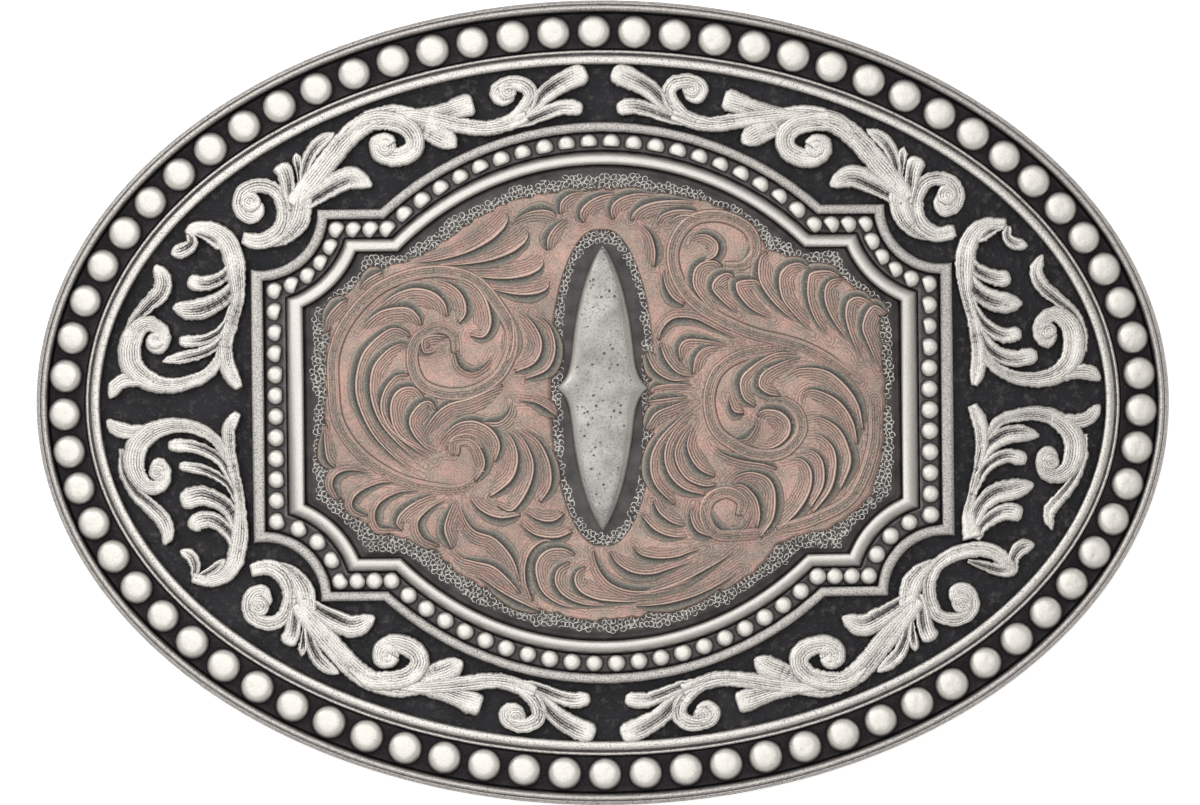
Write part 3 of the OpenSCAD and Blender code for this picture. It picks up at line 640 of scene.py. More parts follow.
# The four vines differ, as if cut by hand. Their shifts across and up, at these distances from the middle.
DRIFT_AT = (2, 7.5, 11, 17.5, 22, 25, 29)
DRIFT = {
    "upper_right": ((0, 0, -0.2, 0.1, 0.1, 0, -0.35), (0, 0.05, 0.2, -0.5, -0.2, 0, 0)),
    "upper_left": ((0,) * 7, (0,) * 7),
    "lower_left": ((-0.1, -0.25, -0.1, 0.2, 0.1, 0, -0.4), (0.1, 0.1, 0.1, -0.8, -0.4, -0.2, -0.35)),
    "lower_right": ((0.2, 0.4, 0.4, 0.9, 0.5, 0.5, 0.6), (0.2, 0.1, 0.1, -0.35, -0.1, -0.1, 0))}
SIDE_LEAF = {
    "upper_right": [
        eye(37.2, 5.6, 1.6),
        ([(31, 1.1), (31.4, 3), (31.3, 5), (30.9, 7), (30.4, 9), (30.35, 11), (30.55, 12.6), (31.2, 13.9),
          (32.3, 14.55), (33.8, 14.5)], 1.75, SPINE, 0.7, None),
        ([(33.9, 14.4), (32.9, 14.2), (32.1, 13.7), (31.4, 13.1)], 0.9, LOBE, 0, 0.1),
        ([(34, 14.4), (33.9, 13.5), (34.4, 12.95), (35.6, 12.75)], 1.1, LOBE, 0, 0.1),
        ([(30.3, 12.2), (31.1, 11), (32.2, 10.3), (33.3, 10), (34.1, 10.2)], 1.4, BLUNT, 0.9, -0.1),
        ([(30.3, 10.8), (31, 9.4), (32.2, 8.4), (33.6, 8), (35.1, 7.9)], 1.9, LOBE, 0.8, -0.1),
        ([(30.7, 8.6), (31.3, 7), (32.3, 5.9), (33.5, 5.3), (35, 5.35)], 1.3, BLUNT, 0, 0),
        ([(31.1, 6.8), (31.7, 5.2), (32.8, 3.9), (34.3, 3.35), (36.3, 3.6)], 1.45, BLUNT, 0, -0.2),
        ([(31.4, 5.2), (32.2, 3.2), (33.8, 2), (36, 1.55), (38, 2), (39.2, 3.3), (39.4, 5), (38.9, 6.3),
          (37.8, 7), (36.7, 6.4), (36.5, 5.3), (37.1, 4.6), (37.6, 5.3), (37.2, 5.9)], 1.9, BOAT, 0, None),
        ([(37.6, 1.7), (39.3, 2.1), (40.6, 2.1), (41.6, 1.5)], 1.4, LOBE, 0, None),
        ([(40.3, 3.8), (40.2, 5.5), (39.4, 7.1), (38, 8.3), (36.8, 9.4), (36.3, 10.6), (36.8, 12)], 1.3,
          OUTER_TAIL, 0, 0.2)],
    "upper_left": [
        eye(37.3, 5.5, 1.6),
        ([(30.3, 1.5), (31.2, 3.2), (31.45, 5), (30.9, 7), (30.35, 9), (30.5, 11), (30.7, 12.5),
          (31.3, 13.9), (32.4, 14.75), (33.8, 14.9), (34.4, 14.3)], 1.85, SPINE, 0.7, None),
        ([(33.9, 14.6), (33, 14.3), (32.2, 13.8), (31.7, 13.1)], 1, LOBE, 0, 0.1),
        ([(34.3, 14.5), (34.1, 13.7), (34.7, 13.15), (35.9, 12.8)], 1.35, LOBE, 0, 0.1),
        ([(30.6, 11.9), (31.5, 10.9), (32.5, 10.4), (33.6, 10.3), (34.5, 10.6)], 1.35, BLUNT, 0.9, -0.1),
        ([(30.5, 10.4), (31.4, 9.2), (32.8, 8.4), (34.2, 8.1), (35.8, 8.3)], 1.85, LOBE, 0.8, -0.1),
        ([(30.8, 8.4), (31.4, 6.8), (32.4, 5.9), (33.7, 5.5), (35.3, 5.5)], 1.05, BLUNT, 0, 0),
        ([(31.2, 6.8), (31.9, 5.4), (33.2, 4.6), (34.8, 4.2), (36.7, 3.8)], 1.1, LOBE, 0, -0.2),
        ([(31.6, 5.2), (32.5, 3.1), (34.2, 2.15), (36.2, 1.8), (38, 2.3), (39.3, 3.6), (39.4, 5.2),
          (38.8, 6.5), (37.7, 7), (36.7, 6.3), (36.6, 5.3), (37.3, 4.9), (37.7, 5.5), (37.3, 6)], 2, BOAT,
          0, None),
        ([(37.5, 1.9), (39.2, 2.3), (40.4, 2), (41.2, 0.8)], 1.3, LOBE, 0, None),
        ([(40, 5.6), (39, 7.3), (37.8, 8.6), (36.8, 9.6), (36.6, 10.7), (37.2, 11.9)], 1.6, OUTER_TAIL, 0,
          0.2)],
    "lower_left": [
        eye(37.2, 5.4, 1.6),
        ([(30.4, 0.5), (31.2, 1.8), (31.2, 3.4), (30.95, 5), (30.55, 6.8), (30.35, 8.5), (30.35, 10.2),
          (30.6, 12), (31, 13.3), (31.9, 14.2), (33.2, 14.5), (34.4, 14.2)], 1.6, SPINE, 0.7, None),
        ([(34, 14.2), (33.1, 13.9), (32.3, 13.4), (31.6, 12.7)], 0.95, LOBE, 0, 0.1),
        ([(34.2, 14.3), (34.1, 13.2), (34.5, 12.4), (35.4, 12)], 1.1, LOBE, 0, 0.1),
        ([(30.6, 12.2), (31.1, 10.8), (31.9, 9.9), (32.9, 9.4), (33.9, 9.6), (34.3, 10.3)], 1.45, BLUNT,
          0.9, -0.1),
        ([(30.6, 10.4), (31.1, 8.8), (32.1, 7.9), (33.6, 7.4), (35.3, 7.9)], 1.75, BLUNT, 0.8, -0.1),
        ([(30.6, 8), (31.3, 6.5), (32.5, 5.6), (33.8, 5.1), (35.4, 4.9)], 0.95, BLUNT, 0, 0),
        ([(30.7, 6.9), (31.7, 4.8), (32.9, 3.8), (34.5, 3.25), (36.3, 3.2)], 1.15, BLUNT, 0, -0.2),
        ([(31, 5.2), (32.1, 3), (33.6, 1.9), (35.5, 1.5), (37.4, 1.9), (38.7, 2.9), (39.2, 4.4),
          (38.8, 5.9), (37.8, 6.7), (36.8, 6.3), (36.6, 5.3), (37, 4.6), (37.5, 5.1), (37.3, 5.8)], 1.9,
          BOAT, 0, None),
        ([(37.5, 1.8), (39.4, 2), (40.6, 1.7), (41.4, 1)], 1.4, LOBE, 0, None),
        ([(40.2, 3.4), (40.1, 5.2), (39.2, 7), (37.8, 8.3), (36.8, 9.4), (36.4, 10.5), (36.7, 11.5)], 1.45,
          OUTER_TAIL, 0, 0.2)],
    "lower_right": [
        eye(37.3, 5.3, 1.6),
        ([(30.8, 0.5), (31.5, 2.2), (31.6, 4), (31.2, 6), (30.75, 8), (30.45, 10), (30.8, 11.6)], 1.9,
          SPINE_LOW, 0, None),
        ([(31, 11.7), (31.6, 10.6), (32.6, 9.8), (33.7, 9.4), (34.9, 9.7)], 1.45, BLUNT, 0, -0.1),
        ([(30.7, 10.6), (31.5, 8.9), (32.7, 7.9), (34, 7.6), (35.9, 7.2)], 1.85, LOBE, 0, -0.1),
        ([(30.8, 8), (31.6, 6.1), (32.7, 5.1), (33.9, 4.75), (35.3, 5.2)], 1.25, BLUNT, 0, 0),
        ([(31.2, 6), (31.9, 4.3), (33.1, 3.3), (34.5, 2.9), (36.4, 3.1)], 1.6, LOBE, 0, -0.2),
        ([(31.7, 3.8), (33, 1.95), (34.8, 1.35), (36.6, 1.3), (38.1, 1.9), (39.2, 3.1), (39.4, 4.5),
          (38.9, 5.9), (37.8, 6.5), (36.8, 6.1), (36.6, 5.1), (37.1, 4.4), (37.6, 5), (37.3, 5.6)], 1.9,
          BOAT, 0, None),
        ([(37.4, 1.6), (39.2, 1.9), (40.5, 1.7), (41.5, 0.6)], 1.3, LOBE, 0, None),
        ([(40.3, 3), (40.1, 5), (39.3, 6.8), (38.2, 8.2), (37.3, 9.2), (37.1, 10), (37.4, 11)], 1.15,
          OUTER_TAIL, 0, 0.2)],
}
CANT = math.radians(0.6)
LINE_PITCH = 0.21
STROKE_STEP = 0.2
SCROLL_HIGH = 0.9
STROKE_GAIN = 1.09
RAGGED = 0.035
# How much painted shade darkens one side of every stroke.
SIDE_SHADE = 0.38
# Columns of a stroke's section: across and height.
FORM = [(-1, -0.06), (-0.985, 0.45), (-0.95, 0.72), (-0.88, 0.88), (-0.74, 0.96), (-0.5, 1), (-0.25, 1),
        (0, 0.98), (0.25, 1), (0.5, 1), (0.74, 0.96), (0.88, 0.88), (0.95, 0.72), (0.985, 0.45), (1, -0.06)]


def stops_on(line, at):
    """Points of a line at these distances along it."""
    run = lengths(line)
    return np.column_stack([np.interp(at, run, line[:, k]) for k in (0, 1)])


def smooth_path(points, step):
    """A smooth line through the points, with even steps, and the distance along it."""
    knots = np.array(points, dtype=float)
    knots = np.vstack([2 * knots[0] - knots[1], knots, 2 * knots[-1] - knots[-2]])
    line = []
    for before, here, after, beyond in zip(knots, knots[1:], knots[2:], knots[3:]):
        for t in np.linspace(0, 1, 24, endpoint=False):
            line.append(0.5 * (2 * here + (after - before) * t
                               + (2 * before - 5 * here + 4 * after - beyond) * t * t
                               + (3 * here - before - 3 * after + beyond) * t ** 3))
    line = np.array(line + [knots[-2]])
    end = lengths(line)[-1]
    at = np.linspace(0, end, max(4, int(round(end / step))) + 1)
    return stops_on(line, at), at


def leftward(path):
    """The unit vectors to the left of a line's run."""
    tangent = np.gradient(path, axis=0)
    tangent /= np.linalg.norm(tangent, axis=1)[:, None]
    return np.column_stack([-tangent[:, 1], tangent[:, 0]])


def turned(places):
    """The slight turn of frame and scrollwork in the oval."""
    x, y = places.T
    cosine, sine = math.cos(CANT), math.sin(CANT)
    return np.column_stack([x * cosine - y * sine, x * sine + y * cosine])


def skin(rows, count, ends, start=0):
    """Faces over rows of so many points. Their ends are capped, joined in a ring or left open."""
    faces = [(start + i * count + k, start + i * count + (k + 1) % count,
              start + (i + 1) % rows * count + (k + 1) % count, start + (i + 1) % rows * count + k)
             for i in range(rows if ends == "joined" else rows - 1) for k in range(count)]
    last = start + (rows - 1) * count
    return faces + [tuple(range(first, first + count)) for first in (start, last) if ends == "capped"]


def shaped(name, points, faces, finish, facts=None):
    """A smooth piece with one finish, its faces outwards."""
    mesh = meshed(name, points, [], faces, facts)
    mesh.shade_smooth()
    mesh.materials.append(finish)
    facing_out(mesh)
    return placed(name, mesh)


def strokes_piece(name, rows, finish, side, seed):
    """Raised strokes as one mesh that carries what the engraving and its painted shade need."""
    chance = np.random.default_rng(seed)
    verts, faces = [], []
    facts = {"along": [], "across": [], "cut": [], "hatch": [], "stroke_shade": []}
    for order, (points, width, spread, hatch, hollow_at) in enumerate(rows):
        count = round(width / LINE_PITCH)
        boss = spread is EYE
        path, run = smooth_path(points, STROKE_STEP)
        left = leftward(path)
        share = run / run[-1]
        half = width / 2 * STROKE_GAIN * np.interp(share, *zip(*spread))
        ragged = chance.normal(0, RAGGED, (2, len(run)))
        top = SCROLL_HIGH * (0.86 + 0.14 * half / half.max()) + 0.012 * (order % 5) + 0.05 * boss
        deep, valley = (0.5, 0.3) if hollow_at is None else (1.0, hollow_at)
        faces += skin(len(run), len(FORM), "capped", len(verts))
        for i, at in enumerate(share):
            fade = math.sin(math.pi * min(1, at * 1.08 + 0.06)) ** 0.6 if at < 0.87 else 0
            fade_in = min(1.0, at * 6, (1 - at) * 5)
            for v, h in FORM:
                reach = v * half[i] + ragged[0 if v < 0 else 1][i] * abs(v)
                x, y = turned((path[i] + left[i] * reach)[None] * side)[0]
                dip = deep * fade * max(0.0, 1 - abs(v - valley) / 0.5)
                verts.append((x, y, SEAT + (top[i] * (h - 0.22 * dip) if h > 0 else h) + crown(x)))
                facts["along"].append(run[i])
                facts["across"].append(
                    math.dist(path[i] + left[i] * v * half[i], path[len(run) // 2]) / LINE_PITCH if boss
                    else v * count / 2 + order * 0.37)
                facts["cut"].append(
                    max(0.0, min(1.0, (0.9 - abs(v)) * 4)) * max(0.15, fade_in) if h > 0 else 0)
                facts["hatch"].append(hatch * max(0.0, 1 - abs(at - 0.3) * 3))
                # Painted shade: the stroke's valley and its one side are darkened.
                facts["stroke_shade"].append(dip + SIDE_SHADE * max(0.0, -v) * (h > 0))
    return shaped(name, verts, faces, finish, facts)


scroll_silver = antique_silver("scroll_silver", 0.15, 0.98, grain=0.85, grain_size=0.13, bumps=0.8,
                               patches=0.3, pits=0.45, lines=True)
for seed, (corner_name, side, vine) in enumerate((
        ("upper_right", (1, 1), VINE), ("upper_left", (-1, 1), VINE), ("lower_left", (-1, -1), VINE),
        ("lower_right", (1, -1), VINE[:-1] + VINE_END_LOW_RIGHT))):
    drift_x, drift_y = DRIFT[corner_name]
    vine = [([(x + np.interp(x, DRIFT_AT, drift_x), y + np.interp(x, DRIFT_AT, drift_y)) for x, y in points],
             *rest) for points, *rest in vine]
    fit(strokes_piece("scroll_" + corner_name, vine, scroll_silver, side, 20 + seed),
        "antique_silver", "vine_" + corner_name)
    fit(strokes_piece("end_leaf_" + corner_name, SIDE_LEAF[corner_name], scroll_silver, side, 30 + seed),
        "antique_silver", "side_leaf_" + corner_name)

# Frame. The panel's cast frame has a flat pitted outer rail, a row of small beads in a black channel,
# many of them trimmed flat by the inner rail, and a smooth bright inner rail with a dull outer slope.
FRAME_SIDE, FRAME_LEDGE, FRAME_ARCH, ARCH_R, CORNER_R = 29.25, 16.35, 23.4, 27.45, 4.75
CORNER = (28.4, 16.1)
BEAD_LINE = 1.84
# In metres: how far from its centre a bead is cut flat, and how much farther low down and at the left.
TRIM, TRIM_LOWER, TRIM_LEFT = (0.0003, 0.00044), 0.0003, 0.00013
OUTER_RAIL = [(0, -0.06), (0, 0.7), (0.05, 0.88), (0.14, 0.97), (0.3, 1), (0.62, 1), (0.8, 0.95),
              (0.89, 0.84), (0.95, 0.62), (0.95, -0.06)]
BEAD_CHANNEL = [(1, -0.06), (1, 0.3), (1.3, 0.22), (2.3, 0.22), (2.55, 0.34), (2.55, -0.06)]
INNER_RAIL = [(2.62, -0.06), (2.62, 0.4), (2.74, 0.6), (2.88, 0.78), (3.02, 0.9), (3.18, 0.97), (3.4, 1),
              (3.6, 1), (3.74, 0.95), (3.84, 0.82), (3.89, 0.6), (3.9, 0.4), (3.9, -0.06)]


def frame_stretches(inset):
    """The upper half of the frame's line at this inset: corner, arch and far corner."""
    x, y, r = FRAME_SIDE - inset * 1.12, FRAME_LEDGE - inset * 0.92, CORNER_R + inset
    first, last = -math.acos((x - CORNER[0]) / r), -math.pi - math.asin((y - CORNER[1]) / r)
    corner_arc = np.array([(CORNER[0] + r * math.cos(a), CORNER[1] + r * math.sin(a))
                           for a in np.linspace(first, last, 19)])
    big_r, mid = ARCH_R - inset * 0.92, FRAME_ARCH - ARCH_R
    spring = math.asin((y - mid) / big_r)
    arch = np.array([(big_r * math.cos(a), mid + big_r * math.sin(a))
                     for a in np.linspace(spring, math.pi - spring, 97)])
    return corner_arc, arch, corner_arc[::-1] * (-1, 1)


def frame_line(inset):
    """The closed line of the frame at this inset."""
    half = np.vstack(frame_stretches(inset))
    return np.vstack([half, -half])


def frame_piece(name, section, finish, wear=0.0):
    """A rail round the panel. Its section is inset from the frame's outline and height above the seat."""
    lines = [turned(frame_line(inset)) for inset, _ in section]
    chance = np.random.default_rng(5)
    verts = []
    for row in zip(*lines):
        for (x, y), (_, high) in zip(row, section):
            push = chance.normal(0, wear, 3) if high > 0 else np.zeros(3)
            verts.append((x + push[0], y + push[1], SEAT + high + crown(x) + push[2]))
    return shaped(name, verts, skin(len(lines[0]), len(section), "joined"), finish)


def frame_bead_places():
    """Centres of the frame's beads: one in each corner of their line and the rest even between."""
    near, arch, far = frame_stretches(BEAD_LINE)
    places = []
    for flip, corner_gaps in ((1, 5), (-1, 4)):
        stretches = ((near, corner_gaps), ((near[-1], arch[0]), 3), (arch, 21), ((arch[-1], far[0]), 3),
                     (far, corner_gaps), ((far[-1], far[-1] * (1, -1)), 11))
        for line, gaps in stretches:
            even = np.arange(gaps) * lengths(np.array(line))[-1] / gaps
            places.append(stops_on(np.array(line), even) * flip)
    return turned(np.vstack(places))


rail_silver = antique_silver("rail_silver", 0.2, 1.58, grain=0.95, grain_size=0.12, bumps=1.0, pits=0.6)
smooth_rail = antique_silver("smooth_rail", -0.25, 1.5, grain=0.35, grain_size=0.13, bumps=0.5, rough=0.38,
                             pits=0.2)
fit(frame_piece("outer_rail", OUTER_RAIL, rail_silver, 0.012), "antique_silver", "frame_outer_rail")
fit(frame_piece("inner_rail", INNER_RAIL, smooth_rail, 0.004), "antique_silver", "frame_inner_rail")
places = frame_bead_places()
towards = -places / np.linalg.norm(places, axis=1)[:, None]
farther = [0.0 if y > 4 else TRIM_LEFT if x < -20 else TRIM_LOWER for x, y in places]
trim = np.random.default_rng(12).uniform(*TRIM, len(places)) + farther
small_domes = bead_piece(
    "small_domes", places, bead_silver, np.column_stack([towards, np.zeros(len(places))]), trim,
    diameter=0.00162, height=0.0009, foot=0.0001, sides=20, size_spread=0.03, wear_depth=0.00008,
    wear_size=0.0003, seed=6.0)
dull_channel = antique_silver("dull_channel", -0.5, 1.6, grain=0.4, grain_size=0.2, bumps=0.6,
                              shade_floor=0.5)
bead_channel = frame_piece("bead_channel", BEAD_CHANNEL, dull_channel)
fit(joined("frame_beading", bead_channel, small_domes), "antique_silver", "frame_beads")

# Panel ground. Inside the frame lies a blackened floor with painted glints, and a smooth moat beside the
# rail.
# Round the copper it is matted with hundreds of small ring punches, whose raised lips are rubbed grey.
PANEL = 0.5
PANEL_INSET = 3.95
ORNAMENT_Y = 1.25
ORNAMENT_HALF = 11.85
COPPER_EDGE = [(-7.5, 16.8), (-9.5, 15.9), (-12, 14.3), (-14, 12.9), (-17, 11.7), (-19.3, 11), (-20.8, 9.8),
               (-21.6, 8.6), (-22.6, 6.5), (-23, 3), (-23.1, 0), (-22.9, -5), (-22.4, -7), (-21.3, -8.4),
               (-19.8, -9.8), (-17.5, -10.9), (-14.5, -11.9), (-13, -13.3), (-11, -14.8), (-8, -16.2),
               (-5, -17.2), (-2, -18), (2, -17.9), (6, -16.9), (10, -15.6), (12.5, -14.2), (14.5, -12),
               (17, -11), (19, -10.6), (20.8, -9.3), (22.1, -8), (23.1, -5), (23.5, 0), (23.3, 4), (23, 7),
               (22.1, 8.4), (19.8, 10.3), (16.5, 11.7), (14, 12.7), (12.5, 14.6), (10, 16.1), (8, 16.9),
               (5, 17.2), (2, 17.9), (-1, 17.7), (-4.5, 17.5)]


def halo_line(grow):
    """The place round the ornament: a plain long lens, this much larger than the ornament."""
    angle = np.linspace(0, 2 * math.pi, 160, endpoint=False)
    share = np.abs(np.sin(angle)) ** 1.2
    wide = 3.0 * np.clip(1 - share ** 2.4, 0, 1) ** 0.65 + grow * np.abs(np.cos(angle)) ** 0.3
    tall = share * (ORNAMENT_HALF + grow)
    return np.column_stack([np.sign(np.cos(angle)) * wide, np.sign(np.sin(angle)) * tall + ORNAMENT_Y])


def subdivided(line, step=1.0):
    """A line with extra points along its long steps."""
    points = []
    for here, after in zip(line, np.roll(line, -1, axis=0)):
        parts = max(1, int(np.linalg.norm(after - here) / step))
        points += [here + (after - here) * i / parts for i in range(parts)]
    return np.array(points)


def closed_smooth(points, step=0.5):
    """A smooth closed line through the points."""
    line, _ = smooth_path(points[-3:] + points + points[:3], step)
    away = np.linalg.norm(line - np.array(points[0]), axis=1)
    return line[np.argmin(away[:len(line) // 2]):len(line) - 1 - np.argmin(away[::-1][:len(line) // 2])]


def reach_of(line):
    """Distance of a closed line from the panel's middle at each angle round it."""
    x, y = (line - MIDDLE).T
    angle = np.arctan2(y, x)
    order = np.argsort(angle)
    angle, reach = angle[order], np.hypot(x, y)[order]
    angles = np.concatenate([angle - 2 * math.pi, angle, angle + 2 * math.pi])
    return np.interp(AROUND, angles, np.tile(reach, 3))


AROUND = np.linspace(-math.pi, math.pi, 480, endpoint=False)
MIDDLE = np.array([0.0, ORNAMENT_Y])
rail_reach = reach_of(subdivided(frame_line(PANEL_INSET)))
copper_reach = reach_of(closed_smooth(COPPER_EDGE))
for high, waves, start in ((0.06, 61, 0), (0.06, 97, 1), (0.05, 31, 2)):
    copper_reach = copper_reach + high * np.sin(AROUND * waves + start)
halo_reach = reach_of(halo_line(1.3))


def lofted(name, rings, finish, ends="joined", facts_at=None):
    """A surface through rings of (reach, height) about the panel's middle."""
    rays = np.column_stack([np.cos(AROUND), np.sin(AROUND)])
    flat = np.vstack([MIDDLE + rays * np.asarray(reach)[:, None] for reach, _ in rings])
    high = np.repeat([high for _, high in rings], len(AROUND))
    place = turned(flat)
    verts = np.column_stack([place, SEAT + high + crown(place[:, 0])])
    return shaped(name, verts, skin(len(rings), len(AROUND), ends), finish, facts_at and facts_at(place))


centre = np.full(len(AROUND), 0.02)
floor_rings = [(rail_reach - inset, PANEL - drop) for inset, drop in (
    (0, PANEL), (0, 0.2), (0.25, 0.22), (0.5, 0.1), (0.75, 0.02))]
floor_rings += [(rail_reach * (1 - t) - 0.75 * (1 - t) + centre * t, PANEL)
                for t in (0.05, 0.12, 0.2, 0.3, 0.45, 0.6, 0.8, 1)]
floor_rings += [(centre, 0.0)]
panel_black, tree, shader = new_finish("panel_black")
place = object_place(tree)
sand = noise(place, 5200.0, 3.0)
black_and_glints = shade(noise(place, 700.0, 3.0), (0.3, (0.052, 0.047, 0.049)), (0.7, (0.118, 0.106, 0.103)))
# Pale specks of the sand noise are painted glints on the blackened floor.
black_and_glints = mixed(stretched(sand, 0.6, 0.8, 0.0, 0.25), black_and_glints, (0.2, 0.19, 0.18))
plug(shader, {"Base Color": black_and_glints, "Roughness": 0.5, "Metallic": 0.5, "Normal": bump(sand, 0.5, 0.00004)})
panel_floor = lofted("panel_floor", floor_rings, panel_black)
fit(panel_floor, "antique_copper", "center_panel")

punch_tree, given, out = grow_tree("ring_punches", {
    "Ring size": 0.00023, "Lip": 0.00005, "Apart": 0.00031, "Opening": 5.6, "Wear depth": 0.00014,
    "Wear size": 0.00016})
arc = add(punch_tree, "GeometryNodeCurveArc", {
    "Resolution": 8, "Radius": given["Ring size"], "Sweep Angle": given["Opening"]})
lip = add(punch_tree, "GeometryNodeCurvePrimitiveCircle", {"Resolution": 4, "Radius": given["Lip"]})
ring = then(arc, "GeometryNodeCurveToMesh", {"Profile Curve": lip, "Fill Caps": True})
strewn = then(given["Geometry"], "GeometryNodeDistributePointsOnFaces", {
    "Distance Min": given["Apart"], "Density Max": 3.0e7, "Seed": 11}, distribute_method="POISSON")
turn = drawn(punch_tree, (-0.25, -0.25, 0.0), (0.25, 0.25, 6.28), 3)
squash = drawn(punch_tree, (0.8, 0.7, 0.7), (1.25, 1.1, 1.2), 4)
punched = then(strewn, "GeometryNodeInstanceOnPoints", {"Instance": ring, "Rotation": turn, "Scale": squash})
end_tree(worn(then(punched, "GeometryNodeRealizeInstances"), given), given, out)
ring_grey = antique_silver("ring_grey", 0.2, 0.52, grain=0.45, grain_size=0.25, bumps=0.3, patches=0.6,
                           rough=0.5, pits=0.15, metal=0.5, shade_floor=0.8)


def matting(name, inner, outer, seed):
    """Ring punches between two reaches."""
    bed = lofted(name, [(reach, PANEL) for reach in (inner, (inner + outer) / 2, outer)], ring_grey, "open")
    return grown(bed, punch_tree, {"Finish": ring_grey, "Seed": seed})


wander = 0.22 * np.sin(AROUND * 23) + 0.15 * np.sin(AROUND * 41 + 1)
far_edge = np.maximum(rail_reach - 0.85, copper_reach + 0.3) + wander * 0.6
outer_mat = matting("outer_matting", copper_reach - 0.35, far_edge, 1.0)
inner_mat = matting("inner_matting", halo_reach - 0.95, halo_reach + 0.3, 2.0)
fit(joined("matting", outer_mat, inner_mat), "antique_copper")

# Copper field. A thin copper-plated field stands above the matting, engraved all over with acanthus:
# lobes with a bright lip and a cut behind it painted dark as its shadow, hatched along their run, and dotted
# stems.
FIELD = 0.2
